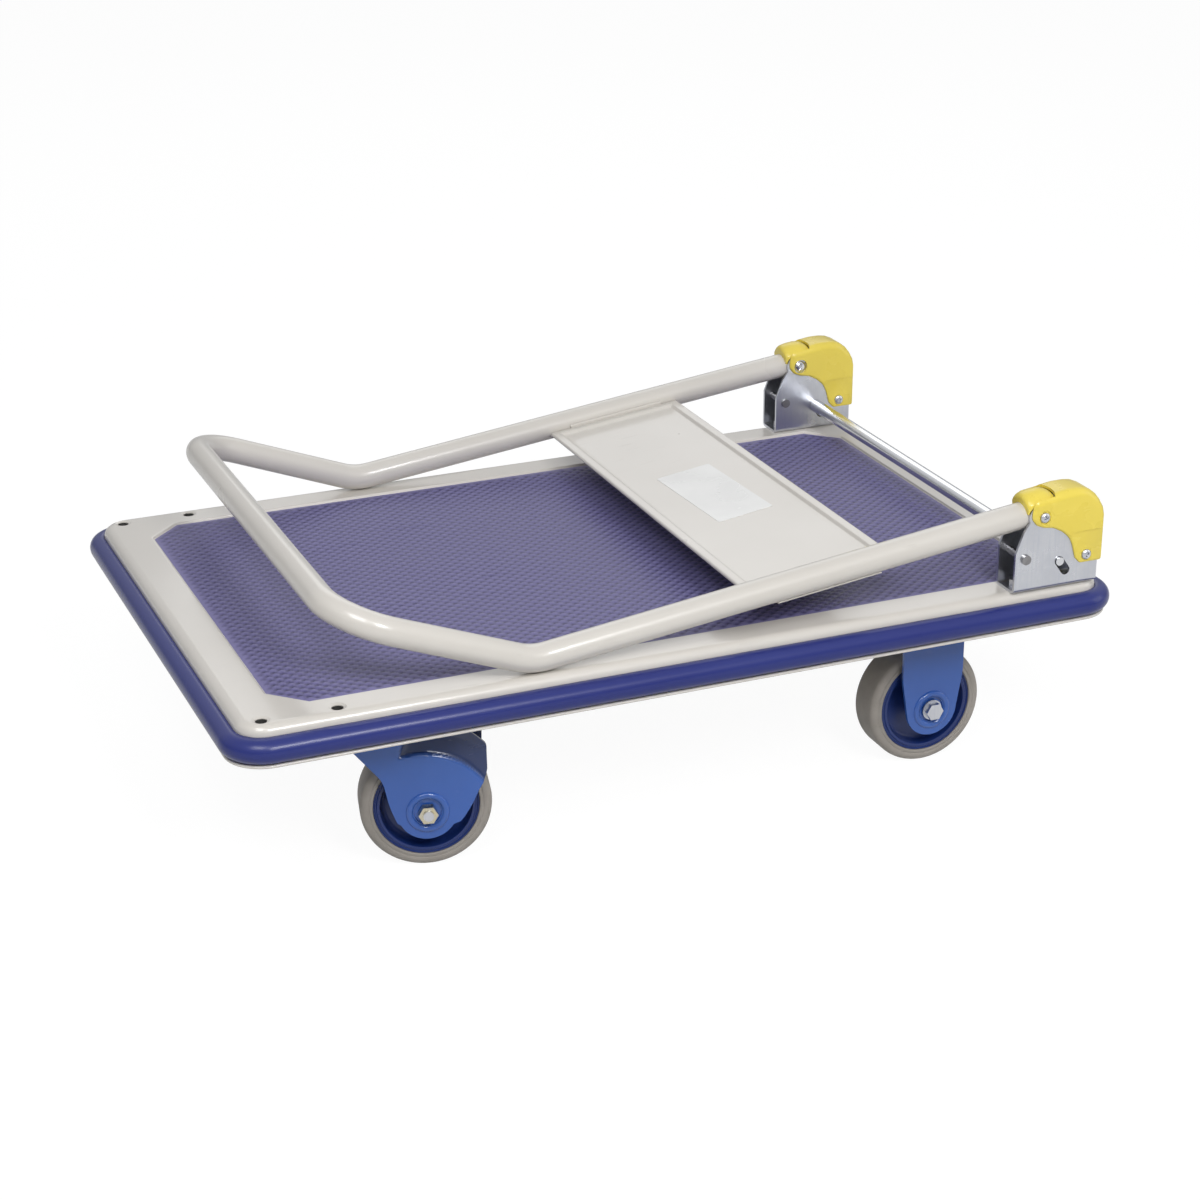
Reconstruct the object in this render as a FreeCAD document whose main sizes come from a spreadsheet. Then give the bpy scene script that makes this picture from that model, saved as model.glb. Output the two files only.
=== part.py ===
# Folding platform cart: a pressed steel deck with a bumper, four casters and a folding handle.
#
# Millimetres, +Z up. The origin is on the floor under the middle of the deck. +X points to
# the end that carries the handle hinges. Left-hand parts lie on the -Y side: the left of
# someone who stands at the handle end and pushes.

import FreeCAD, Part
import math
import os
import Sketcher

# Driving dimensions: name, value, what it is. "Rise" is a height above the deck top.
SIZES = [
    ("overall_length", 740, "over the bumper, along X"),
    ("overall_width", 475, "over the bumper, along Y"),
    ("bumper_depth", 12.6, "from the deck's wall to the bumper's face"),
    ("bumper_corner", 34.5, "outside corner radius of the bumper"),
    ("bumper_drop", 8, "deck top down to the bumper's top"),
    ("bumper_height", 19, "height of the bumper strip"),
    ("bumper_round", 9.3, "edge radius that makes the strip D-shaped"),
    ("bumper_gap", 0.1, "fit between bumper and deck wall"),
    ("deck_sheet", 1.6, "steel sheet of the deck"),
    ("deck_edge_round", 6.4, "radius of the deck's top edge"),
    ("flange_thickness", 2.4, "hem under the bumper"),
    ("flange_reach", 8.6, "how far the hem stands out of the wall"),
    ("mat_end_border", 34.2, "deck wall to the recess for the mat, at its ends"),
    ("mat_side_border", 31.05, "deck wall to the recess for the mat, at its sides"),
    ("mat_corner_cut", 25.2, "45 degree cut at the recess corners"),
    ("mat_recess", 2, "depth of the recess"),
    ("mat_thickness", 1.5, "thickness of the mat"),
    ("mat_gap", 0.4, "gap round the mat"),
    ("rail_height", 23.4, "height of the rails under the deck"),
    ("rail_sheet", 2, "steel sheet of the rails"),
    ("rail_width", 100, "width of a cross rail's web"),
    ("rail_flange", 14, "width of a rail's welding flange"),
    ("rail_end_gap", 2.3, "cross rail's end to the inside of the deck wall"),
    ("rail_flange_inset", 34.9, "deck wall to the end of a cross rail's flanges"),
    ("stiffener_width", 60, "width of the lengthwise stiffener's web"),
    ("stiffener_gap", 0.5, "stiffener's end to the cross rails"),
    ("wheel_diameter", 100, "over the tyre"),
    ("tyre_width", 31, "width of the tyre"),
    ("tyre_round", 5, "shoulder radius of the tyre"),
    ("rim_radius", 40.3, "inside radius of the tyre"),
    ("rim_gap", 0.05, "fit between tyre and wheel centre"),
    ("rim_thickness", 5.5, "rim of the wheel centre"),
    ("rim_width", 29, "width of the rim"),
    ("wheel_web", 8, "thickness of the wheel centre's disc"),
    ("hub_radius", 13, "radius of the wheel's hub"),
    ("hub_side_gap", 0.4, "wheel's hub to the fork's cheek"),
    ("caster_headroom", 28, "top of the tyre to the top of the caster's plate"),
    ("front_caster_inset", 112.9, "deck wall to the front swivel axis"),
    ("rear_caster_inset", 136.2, "deck wall to the rear axle"),
    ("caster_inset", 57.6, "deck wall to the middle of the casters"),
    ("trail", 38, "wheel centre behind the swivel axis"),
    ("swivel_turn", 13.8, "how far the front forks are turned, degrees"),
    ("top_plate_length", 92, "caster top plate along X"),
    ("top_plate_width", 72, "caster top plate along Y"),
    ("top_plate_thickness", 3, "caster top plate"),
    ("top_plate_corner", 8, "corner radius of the top plate"),
    ("plate_bolt_x", 36, "bolt from the middle of the plate, along X"),
    ("plate_bolt_y", 25, "bolt from the middle of the plate, along Y"),
    ("fork_half_width", 24.9, "middle of the wheel to the cheek's outer face"),
    ("fork_sheet", 2.6, "steel sheet of the forks"),
    ("fork_inset", 3, "how far the swivel fork's upper part is set in"),
    ("fork_bulge", 59, "radius of the edge of the cheek's bulge"),
    ("fork_lobe", 22.4, "radius of the cheek round the axle"),
    ("fixed_fork_reach", 27.5, "half width of the fixed fork's cheek"),
    ("boss_inside", 11, "embossed ring round the axle, inside radius"),
    ("boss_outside", 13, "embossed ring round the axle, outside radius"),
    ("boss_height", 0.8, "height of the embossed ring"),
    ("crown_drop", 11, "top of the caster down to the top of the fork"),
    ("crown_radius", 32, "round front of the fork's crown"),
    ("ball_diameter", 6, "balls of the swivel bearing"),
    ("ball_ring", 22, "radius of the ring of balls"),
    ("ball_gap", 0.15, "play above and below the balls"),
    ("race_radius", 27, "outside radius of the race"),
    ("race_bore", 12, "inside radius of the race"),
    ("kingpin_radius", 6, "pin that the fork swivels on"),
    ("kingpin_head", 9, "radius of the pin's flush head"),
    ("kingpin_head_height", 1.5, "thickness of the flush head"),
    ("kingpin_flats", 18, "nut of the pin across its flats"),
    ("kingpin_nut", 6, "height of the pin's nut"),
    ("kingpin_nut_gap", 0.1, "fork's crown to the nut"),
    ("running_gap", 0.05, "radial gap of a turning fit"),
    ("screw_gap", 0.02, "radial gap of a fixed fit"),
    ("bolt_radius", 4, "M8 bolts"),
    ("bolt_play", 0.5, "radial play of a bolt in its hole"),
    ("bolt_flats", 13, "across the flats of heads and nuts"),
    ("bolt_head", 5.3, "height of a head"),
    ("nut_height", 6.5, "height of a nut"),
    ("deck_nut_gap", 0.25, "bracket nut to the deck's sheet, clear of its bend"),
    ("bolt_stub", 1.5, "thread that shows past a nut"),
    ("axle_flange", 8.5, "radius of the flange under an axle bolt's head"),
    ("axle_flange_height", 1.2, "thickness of that flange"),
    ("sleeve_radius", 6, "spacer sleeve that the wheel turns on"),
    ("sleeve_side_gap", 0.1, "sleeve's end to the cheek"),
    ("hinge_inset", 12.4, "deck wall to the middle plane of a hinge"),
    ("foot_bolt_back", 36, "bracket's rear edge to the middle of its two bolts"),
    ("foot_bolt_inset", 12.9, "deck wall to the bracket bolts"),
    ("foot_bolt_spacing", 56.6, "between a bracket's two bolts"),
    ("bracket_length", 76, "bracket along X"),
    ("bracket_inset", 10.4, "deck wall to the rear edge of the bracket"),
    ("bracket_play", 0.35, "handle tube to the bracket's cheek"),
    ("bracket_sheet", 2.3, "steel sheet of the bracket"),
    ("bracket_bend", 4.4, "outside bend radius at its foot"),
    ("bracket_front_rise", 34, "height of the straight front edge"),
    ("pivot_back", 52.6, "bracket's rear edge to the handle's pivot"),
    ("pivot_rise", 62.7, "pivot above the deck top"),
    ("bracket_lobe", 12.5, "radius of the cheek round the pivot"),
    ("pivot_radius", 4, "pivot pin"),
    ("pivot_head", 5, "radius of its domed head"),
    ("pivot_head_height", 3.2, "height of its domed head"),
    ("lock_back", 35.5, "bracket's rear edge to the lock bar when it is up"),
    ("lock_rise", 22.7, "lock bar's height when it is up"),
    ("lock_run", 6.1, "travel of the lock bar backwards"),
    ("lock_fall", 8.5, "travel of the lock bar downwards"),
    ("lock_slot", 8, "width of its slots"),
    ("lock_bar_radius", 5.9, "foot bar"),
    ("lock_pin_radius", 3.5, "end pins of the bar"),
    ("lock_end_gap", 0.5, "bar's shoulder to the bracket"),
    ("lock_overhang", 1.5, "end pin past the bracket"),
    ("spring_radius", 4.4, "middle of the spring's wire from its axis"),
    ("spring_wire", 0.6, "radius of the spring's wire"),
    ("spring_turns", 5, "turns of the spring"),
    ("spring_seat", 0.05, "gap at each end of the spring"),
    ("stop_rise", 28.7, "stop pin above the deck top"),
    ("stop_radius", 3, "stop pin"),
    ("stop_head", 4, "radius of its riveted heads"),
    ("stop_head_height", 2, "height of its riveted heads"),
    ("stop_gap", 0.3, "upright tube to the stop pin"),
    ("cover_gap", 0.3, "bracket's cheek to the cover"),
    ("cover_wall", 2, "wall of the hinge cover"),
    ("cover_top", 19.3, "cover's top above the pivot"),
    ("cover_front", 11.7, "cover's front edge before the pivot"),
    ("cover_back", 55.6, "cover's back behind the pivot"),
    ("cover_tail", 44.2, "cover's lowest edge below the pivot"),
    ("cover_corner", 25, "radius of the cover's upper back corner"),
    ("cover_front_round", 6, "radius of its upper front corner"),
    ("cover_edge_round", 3, "radius of its side edges"),
    ("cover_mouth", 18.2, "end of the opening in its top, behind the pivot"),
    ("cover_mouth_round", 2.5, "corner radius of that opening"),
    ("pin_window", 6.5, "radius of the hole round the pivot pin's head"),
    ("cover_screw_x", 40.5, "lower cover screw behind the pivot"),
    ("cover_screw_drop", 37, "lower cover screw below the pivot"),
    ("cover_screw_radius", 2, "M4 cover screws"),
    ("cover_screw_head", 4, "radius of their heads"),
    ("cover_screw_head_height", 2.2, "height of their heads"),
    ("cover_screw_grip", 4.4, "length of their shanks"),
    ("tube_radius", 10.85, "handle tube"),
    ("tube_wall", 1.8, "wall of the tube"),
    ("tube_tail", 37.5, "tube past the pivot"),
    ("handle_rest_gap", 0.3, "folded handle to the deck"),
    ("lower_leg_slope", 7.03, "lower legs rise to the pivot, degrees"),
    ("upper_leg_slope", 21.1, "upper legs rise to the grip, degrees"),
    ("upper_leg_length", 156.4, "from the bend to the grip"),
    ("crank_bend", 50, "bend radius between the legs' two parts"),
    ("grip_bend", 45, "bend radius at the ends of the grip"),
    ("boot_side_gap", 0.4, "boot's side to the inside of the cover"),
    ("boot_front", 17, "boot's front end before the pivot"),
    ("boot_back", 13.4, "boot's back end behind the pivot"),
    ("boot_low", 4.5, "boot's lower edge above the tube's axis"),
    ("boot_high", 19.4, "boot's top above the tube's axis"),
    ("boot_gap", 0.1, "tube to the boot"),
    ("boot_lobe_gap", 0.8, "bracket's lobe to the boot"),
    ("boot_cheek_gap", 0.2, "bracket's cheek to the boot's middle"),
    ("boot_notch", 8, "where the boot's sides end behind the pivot"),
    ("panel_near", 125.5, "panel's edge nearest the pivot"),
    ("panel_far", 249.5, "panel's other edge from the pivot"),
    ("panel_sheet", 1.2, "steel sheet of the panel"),
    ("panel_rim_drop", 1.3, "top of its rim below the tubes' axes"),
    ("panel_floor_drop", 3.7, "its floor below the tubes' axes"),
    ("panel_rim", 8, "width of the rim"),
    ("panel_tube_gap", 0.35, "sheet's end to the tube"),
    ("saddle_near", 141, "saddle's edge nearest the pivot"),
    ("saddle_far", 230, "saddle's other edge from the pivot"),
    ("saddle_gap", 0.1, "tube to the saddle"),
    ("saddle_reach", 5.5, "saddle's edge past the middle of the tube"),
    ("label_length", 50, "label along the legs"),
    ("label_width", 115, "label across the cart"),
    ("label_thickness", 0.25, "label"),
    ("label_gap", 0.02, "glue under the label"),
    ("label_middle", 186, "middle of the label from the pivot"),
    ("label_offset", 8, "middle of the label towards -Y"),
]

BALLS = 18
REACH = 60
LEFT = -1
RIGHT = 1
SIDES = {"left": LEFT, "right": RIGHT}

doc = FreeCAD.newDocument("platform_cart")
sheet = doc.addObject("Spreadsheet::Sheet", "sizes")
for row, (alias, number, note) in enumerate(SIZES, start=1):
    sheet.set(f"A{row}", note)
    sheet.set(f"B{row}", str(number))
    sheet.setAlias(f"B{row}", alias)
doc.recompute()


class Size:
    """A length that knows its number and the sheet formula that it comes from."""

    def __init__(self, number, text):
        self.number = float(number)
        self.text = text

    def combine(self, other, sign, number):
        return Size(number, f"({self.text} {sign} {other.text})")

    def __add__(self, other):
        other = as_size(other)
        return self.combine(other, "+", self.number + other.number)

    def __sub__(self, other):
        other = as_size(other)
        return self.combine(other, "-", self.number - other.number)

    def __mul__(self, other):
        other = as_size(other)
        return self.combine(other, "*", self.number * other.number)

    def __truediv__(self, other):
        other = as_size(other)
        return self.combine(other, "/", self.number / other.number)

    def __neg__(self):
        return Size(-self.number, f"(0 - {self.text})")

    __radd__ = __add__
    __rmul__ = __mul__

    def __rsub__(self, other):
        return as_size(other) - self


def as_size(value):
    return value if isinstance(value, Size) else Size(value, repr(float(value)))


def root(value):
    return Size(math.sqrt(value.number), f"sqrt({value.text})")


class Sheet:
    """The sheet's cells by name."""

    def __getattr__(self, alias):
        return Size(sheet.get(alias), f"sizes.{alias}")


S = Sheet()

# Heights and outlines that several pieces share.
AXLE_Z = S.wheel_diameter / 2
CASTER_TOP = S.wheel_diameter + S.caster_headroom
PLATE_LOW = CASTER_TOP - S.top_plate_thickness
CROWN_TOP = CASTER_TOP - S.crown_drop
RAIL_TOP = CASTER_TOP + S.rail_height
DECK_TOP = RAIL_TOP + S.deck_sheet + S.mat_recess
SHEET_LOW = DECK_TOP - S.deck_sheet
BUMPER_LOW = DECK_TOP - S.bumper_drop - S.bumper_height
SKIRT_LOW = BUMPER_LOW - S.flange_thickness
WALL_X = S.overall_length / 2 - S.bumper_depth
WALL_Y = S.overall_width / 2 - S.bumper_depth
WALL_CORNER = S.bumper_corner - S.bumper_depth
MAT_X = WALL_X - S.mat_end_border
MAT_Y = WALL_Y - S.mat_side_border
FRONT_CASTER_X = WALL_X - S.front_caster_inset
REAR_CASTER_X = WALL_X - S.rear_caster_inset
CASTER_Y = WALL_Y - S.caster_inset
RAIL_FLANGE_END = WALL_Y - S.rail_flange_inset
BOLT_HOLE = S.bolt_radius + S.bolt_play
HINGE_Y = WALL_Y - S.hinge_inset
FOOT_BOLT_Y = WALL_Y - S.foot_bolt_inset
BRACKET_REAR = WALL_X - S.bracket_inset
BRACKET_FRONT = BRACKET_REAR - S.bracket_length
FOOT_BOLT_X = BRACKET_REAR - S.foot_bolt_back
PIVOT_X = BRACKET_REAR - S.pivot_back
LOCK_X = BRACKET_REAR - S.lock_back
PIVOT_Z = DECK_TOP + S.pivot_rise
LOCK_Z = DECK_TOP + S.lock_rise
CHEEK_IN = S.tube_radius + S.bracket_play
CHEEK_OUT = CHEEK_IN + S.bracket_sheet
COVER_IN = CHEEK_OUT + S.cover_gap
COVER_OUT = COVER_IN + S.cover_wall
FORK_IN = S.fork_half_width - S.fork_sheet
STOP_X = PIVOT_X - S.tube_radius - S.stop_radius - S.stop_gap

nodes = []


# ---- helpers ----------------------------------------------------------------------------

def bind(item, name, value):
    """Bind one property to its formula."""
    item.setExpression(name, as_size(value).text)


def place(item, x=0, y=0, z=0, axis=None, angle=0):
    """Put an object at a bound place, turned about an axis by a bound angle."""
    direction = axis or FreeCAD.Vector(0, 0, 1)
    spot = FreeCAD.Vector(as_size(x).number, as_size(y).number, as_size(z).number)
    item.Placement = FreeCAD.Placement(spot, FreeCAD.Rotation(direction, as_size(angle).number))
    for name, value in (("x", x), ("y", y), ("z", z)):
        if isinstance(value, Size):
            bind(item, f"Placement.Base.{name}", value)
    if isinstance(angle, Size):
        bind(item, "Placement.Rotation.Angle", angle)


def node(item, name):
    """Name the object as a node of its own."""
    item.Label = name
    nodes.append(item)
    return item


def new_body(name):
    return node(doc.addObject("PartDesign::Body", name), name)


def pin_point(sketch, geometry, point, x, y):
    """Hold one point of a sketch at bound distances from the sketch's origin."""
    for kind, value in (("DistanceX", x), ("DistanceY", y)):
        value = as_size(value)
        rule = Sketcher.Constraint(kind, -1, 1, geometry, point, value.number)
        bind(sketch, f"Constraints[{sketch.addConstraint(rule)}]", value)


def draw_outline(sketch, points):
    """Draw a closed outline of straight lines."""
    corners = [FreeCAD.Vector(as_size(x).number, as_size(y).number, 0) for x, y in points]
    lines = [
        sketch.addGeometry(Part.LineSegment(corner, corners[(index + 1) % len(corners)]), False)
        for index, corner in enumerate(corners)
    ]
    for index, line in enumerate(lines):
        following = lines[(index + 1) % len(lines)]
        sketch.addConstraint(Sketcher.Constraint("Coincident", line, 2, following, 1))
    for line, (x, y) in zip(lines, points):
        pin_point(sketch, line, 1, x, y)


def draw_circle(sketch, x, y, radius):
    centre = FreeCAD.Vector(as_size(x).number, as_size(y).number, 0)
    radius = as_size(radius)
    shape = Part.Circle(centre, FreeCAD.Vector(0, 0, 1), radius.number)
    circle = sketch.addGeometry(shape, False)
    rule = sketch.addConstraint(Sketcher.Constraint("Radius", circle, radius.number))
    bind(sketch, f"Constraints[{rule}]", radius)
    pin_point(sketch, circle, 3, x, y)


def sketch_on(body, plane, loops, level, name):
    """Sketch on one of the body's own planes, moved along the plane's axis to a level.

    A loop is a list of corners, or a circle as (x, y, radius).
    """
    sketch = body.newObject("Sketcher::SketchObject", name)
    support = next(item for item in body.Origin.OriginFeatures if item.Role == plane)
    sketch.AttachmentSupport = [(support, "")]
    sketch.MapMode = "FlatFace"
    # The XZ plane's normal points along -Y.
    bind(sketch, "AttachmentOffset.Base.z", -as_size(level) if plane == "XZ_Plane" else level)
    for loop in loops:
        if isinstance(loop, tuple):
            draw_circle(sketch, *loop)
        else:
            draw_outline(sketch, loop)
    return sketch


def settle(body, feature):
    """Recompute, and stop at a feature that failed."""
    doc.recompute()
    if "Invalid" in feature.State or feature.Shape.isNull():
        raise RuntimeError(f"{body.Label}: {feature.Name} failed, {feature.State}")
    return feature


def prism(body, kind, name, plane, loops, low, high):
    """Pad or Pocket the loops between two levels along the plane's axis."""
    low = as_size(low)
    high = as_size(high)
    before = body.Shape.Volume if kind == "Pocket" else 0
    feature_sketch = sketch_on(body, plane, loops, (low + high) / 2, name + "_sketch")
    feature = body.newObject("PartDesign::" + kind, name)
    feature.Profile = feature_sketch
    feature.SideType = "Symmetric"
    bind(feature, "Length", high - low)
    settle(body, feature)
    if kind == "Pocket" and not feature.Shape.Volume < before - 0.01:
        raise RuntimeError(f"{body.Label}: {name} cuts nothing")
    return feature


def lathe(body, name, plane, points):
    """Turn an outline of (radius, height) corners about Y (XY plane) or Z (XZ plane)."""
    profile = sketch_on(body, plane, [points], 0, name + "_sketch")
    feature = body.newObject("PartDesign::Revolution", name)
    feature.Profile = profile
    feature.ReferenceAxis = (profile, ["V_Axis"])
    feature.Angle = 360
    return settle(body, feature)


def round_edges(body, name, radius, wanted):
    """Fillet the edges of the body that a test picks by their middle and direction."""
    base = body.Tip
    names = []
    for index, edge in enumerate(base.Shape.Edges, start=1):
        if wanted(edge.CenterOfMass, edge.tangentAt(edge.FirstParameter), edge):
            names.append(f"Edge{index}")
    if not names:
        raise RuntimeError(f"{body.Label}: {name} finds no edge")
    fillet = body.newObject("PartDesign::Fillet", name)
    fillet.Base = (base, names)
    bind(fillet, "Radius", radius)
    return settle(body, fillet)


def near(value, target, slack=0.05):
    return abs(value - as_size(target).number) < slack


def upright(direction):
    return abs(direction.z) > 0.999


def along_y(direction):
    return abs(direction.y) > 0.999


def rectangle(half_x, half_y, x=0, y=0):
    """Corners of a rectangle about a middle point."""
    middle_x = as_size(x)
    middle_y = as_size(y)
    return [
        (middle_x - half_x, middle_y - half_y),
        (middle_x + half_x, middle_y - half_y),
        (middle_x + half_x, middle_y + half_y),
        (middle_x - half_x, middle_y + half_y),
    ]


def mat_outline(margin):
    """Corners of the mat's outline with its cut corners, grown by a margin."""
    half_x = MAT_X + margin
    half_y = MAT_Y + margin
    cut = S.mat_corner_cut
    return [
        (cut - half_x, -half_y),
        (half_x - cut, -half_y),
        (half_x, cut - half_y),
        (half_x, half_y - cut),
        (half_x - cut, half_y),
        (cut - half_x, half_y),
        (-half_x, half_y - cut),
        (-half_x, cut - half_y),
    ]


def solid(kind, name, z=0, **sizes):
    """A Part primitive with bound sizes, standing at a height on the Z axis."""
    item = doc.addObject("Part::" + kind, name)
    for size_name, value in sizes.items():
        bind(item, size_name, value)
    place(item, z=z)
    return item


def hexagon(name, flats, height, z=0):
    item = solid("Prism", name, z=z, Circumradius=flats / math.sqrt(3), Height=height)
    item.Polygon = 6
    return item


def hex_bolt(name, length, flange=None):
    """Bolt with its head above Z = 0 and its shank below; the flange lies under the head."""
    pieces = [solid("Cylinder", name + "_shank", z=-length, Radius=S.bolt_radius, Height=length)]
    if flange:
        pieces.append(
            solid("Cylinder", name + "_flange", Radius=flange, Height=S.axle_flange_height)
        )
        pieces.append(hexagon(name + "_head", S.bolt_flats, S.bolt_head, z=S.axle_flange_height))
    else:
        pieces.append(hexagon(name + "_head", S.bolt_flats, S.bolt_head))
    bolt = doc.addObject("Part::MultiFuse", name)
    bolt.Shapes = pieces
    return bolt


def hex_nut(name, flats, height, bore):
    """Nut that stands on Z = 0."""
    nut = doc.addObject("Part::Cut", name)
    nut.Base = hexagon(name + "_outside", flats, height)
    nut.Tool = solid("Cylinder", name + "_bore", z=-1, Radius=bore, Height=height + 2)
    return nut


def copies(name, template, spots):
    """One node of separate solids: a copy of the template at each (x, y, z, axis, angle)."""
    links = []
    for index, spot in enumerate(spots, start=1):
        link = doc.addObject("App::Link", f"{name}_{index}")
        link.LinkedObject = template
        place(link, *spot)
        links.append(link)
    group = doc.addObject("Part::Compound", name)
    group.Links = links
    return node(group, name)


TO_MINUS_Y = (FreeCAD.Vector(1, 0, 0), 90)
TO_PLUS_Y = (FreeCAD.Vector(1, 0, 0), -90)
UPSIDE_DOWN = (FreeCAD.Vector(1, 0, 0), 180)
ABOUT_Z = FreeCAD.Vector(0, 0, 1)
ABOUT_MINUS_Z = FreeCAD.Vector(0, 0, -1)
ABOUT_MINUS_Y = FreeCAD.Vector(0, -1, 0)


# ---- deck -------------------------------------------------------------------------------

def pad_round_block(body, name, half_x, half_y, corner, low, high):
    """Pad a rectangle with round corners."""
    prism(body, "Pad", name, "XY_Plane", [rectangle(half_x, half_y)], low, high)
    round_edges(
        body, name + "_corners", corner, lambda p, d, e: upright(d) and near(abs(p.x), half_x)
    )


def make_deck_plate():
    """Pressed sheet: flat top with a recess for the mat, a skirt and a hem at its foot."""
    outside = doc.addObject("PartDesign::Body", "deck_outside")
    pad_round_block(outside, "shell", WALL_X, WALL_Y, WALL_CORNER, SKIRT_LOW, DECK_TOP)
    round_edges(outside, "top_edge", S.deck_edge_round, lambda p, d, e: near(p.z, DECK_TOP))
    hem_x = WALL_X + S.flange_reach
    hem_y = WALL_Y + S.flange_reach
    hem_corner = WALL_CORNER + S.flange_reach
    pad_round_block(outside, "hem", hem_x, hem_y, hem_corner, SKIRT_LOW, BUMPER_LOW)
    recess_low = DECK_TOP - S.mat_recess
    prism(outside, "Pocket", "mat_recess", "XY_Plane", [mat_outline(0)], recess_low, DECK_TOP + 1)
    # The bracket's bolt pattern is punched at both ends of the deck.
    holes = [
        (FOOT_BOLT_X * end + S.foot_bolt_spacing * half, FOOT_BOLT_Y * side, BOLT_HOLE)
        for end in (-1, 1)
        for half in (-0.5, 0.5)
        for side in (LEFT, RIGHT)
    ]
    low = DECK_TOP - 2 * S.deck_sheet
    prism(outside, "Pocket", "bolt_holes", "XY_Plane", holes, low, DECK_TOP + 1)

    # The hollow is lower under the recess, so that the sheet is equally thick everywhere.
    hollow = doc.addObject("PartDesign::Body", "deck_hollow")
    inside_x = WALL_X - S.deck_sheet
    inside_y = WALL_Y - S.deck_sheet
    inside_corner = WALL_CORNER - S.deck_sheet
    pad_round_block(hollow, "room", inside_x, inside_y, inside_corner, SKIRT_LOW - 1, SHEET_LOW)
    inside_edge = S.deck_edge_round - S.deck_sheet
    round_edges(hollow, "room_edge", inside_edge, lambda p, d, e: near(p.z, SHEET_LOW))
    step = [mat_outline(S.deck_sheet)]
    prism(hollow, "Pocket", "step", "XY_Plane", step, RAIL_TOP, SHEET_LOW + 1)

    plate = doc.addObject("Part::Cut", "deck_plate")
    plate.Base = outside
    plate.Tool = hollow
    node(plate, "deck_plate")


def make_deck_mat():
    """Ribbed rubber sheet that lies in the recess."""
    body = new_body("deck_mat")
    low = DECK_TOP - S.mat_recess
    loops = [mat_outline(-S.mat_gap)]
    prism(body, "Pad", "mat", "XY_Plane", loops, low, low + S.mat_thickness)


def make_bumper():
    """Endless D-shaped strip that sits on the deck's hem."""
    top = BUMPER_LOW + S.bumper_height
    strip = doc.addObject("PartDesign::Body", "bumper_outside")
    half_x = S.overall_length / 2
    half_y = S.overall_width / 2
    pad_round_block(strip, "strip", half_x, half_y, S.bumper_corner, BUMPER_LOW, top)
    round_edges(
        strip, "face", S.bumper_round, lambda p, d, e: near(p.z, top) or near(p.z, BUMPER_LOW)
    )
    inside = doc.addObject("PartDesign::Body", "bumper_inside")
    inside_x = WALL_X + S.bumper_gap
    inside_y = WALL_Y + S.bumper_gap
    corner = WALL_CORNER + S.bumper_gap
    pad_round_block(inside, "core", inside_x, inside_y, corner, BUMPER_LOW - 1, top + 1)
    bumper = doc.addObject("Part::Cut", "bumper")
    bumper.Base = strip
    bumper.Tool = inside
    node(bumper, "bumper")


def hat_outline(half_width):
    """Section of a channel with its web below and a flange on each side above."""
    wall = S.rail_sheet
    edge = half_width + S.rail_flange
    return [
        (-edge, RAIL_TOP - wall),
        (-half_width, RAIL_TOP - wall),
        (-half_width, CASTER_TOP),
        (half_width, CASTER_TOP),
        (half_width, RAIL_TOP - wall),
        (edge, RAIL_TOP - wall),
        (edge, RAIL_TOP),
        (half_width - wall, RAIL_TOP),
        (half_width - wall, CASTER_TOP + wall),
        (wall - half_width, CASTER_TOP + wall),
        (wall - half_width, RAIL_TOP),
        (-edge, RAIL_TOP),
    ]


def make_cross_rail(name, x):
    """Channel across the deck that two casters are bolted to."""
    body = new_body(name)
    half_width = S.rail_width / 2
    end = WALL_Y - S.deck_sheet - S.rail_end_gap
    prism(body, "Pad", "channel", "XZ_Plane", [hat_outline(half_width)], -end, end)
    # The flanges stop where the deck steps up to its border.
    trimmed = (end + RAIL_FLANGE_END) / 2
    loops = [
        rectangle(
            S.rail_flange / 2 + 0.5,
            (end - RAIL_FLANGE_END) / 2 + 0.5,
            (half_width + S.rail_flange / 2 + 0.5) * edge,
            (trimmed + 0.5) * side,
        )
        for edge in (-1, 1)
        for side in (LEFT, RIGHT)
    ]
    prism(body, "Pocket", "flange_ends", "XY_Plane", loops, RAIL_TOP - 4, RAIL_TOP + 1)
    holes = [
        (S.plate_bolt_x * along, CASTER_Y * side + S.plate_bolt_y * across, BOLT_HOLE)
        for along in (-1, 1)
        for across in (-1, 1)
        for side in (LEFT, RIGHT)
    ]
    prism(body, "Pocket", "holes", "XY_Plane", holes, CASTER_TOP - 1, CASTER_TOP + 3)
    place(body, x=x)


def make_centre_stiffener():
    """Lengthwise channel between the two cross rails."""
    body = new_body("centre_stiffener")
    rail_edge = S.rail_width / 2 + S.rail_flange + S.stiffener_gap
    front = rail_edge - FRONT_CASTER_X
    rear = REAR_CASTER_X - rail_edge
    prism(body, "Pad", "channel", "YZ_Plane", [hat_outline(S.stiffener_width / 2)], front, rear)


# ---- casters ----------------------------------------------------------------------------

def caster_spots():
    """Middle of each caster's top plate."""
    return {
        ("front", side): (-FRONT_CASTER_X, CASTER_Y * SIDES[side]) for side in SIDES
    } | {
        ("rear", side): (REAR_CASTER_X, CASTER_Y * SIDES[side]) for side in SIDES
    }


def plate_holes():
    return [
        (S.plate_bolt_x * along, S.plate_bolt_y * across, BOLT_HOLE)
        for along in (-1, 1)
        for across in (-1, 1)
    ]


def pad_top_plate(body):
    """Flat plate with rounded corners at the top of a caster."""
    loops = [rectangle(S.top_plate_length / 2, S.top_plate_width / 2)]
    prism(body, "Pad", "plate", "XY_Plane", loops, PLATE_LOW, CASTER_TOP)
    round_edges(body, "plate_corners", S.top_plate_corner, lambda p, d, e: upright(d))
    prism(body, "Pocket", "holes", "XY_Plane", plate_holes(), PLATE_LOW - 1, CASTER_TOP + 1)


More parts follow.
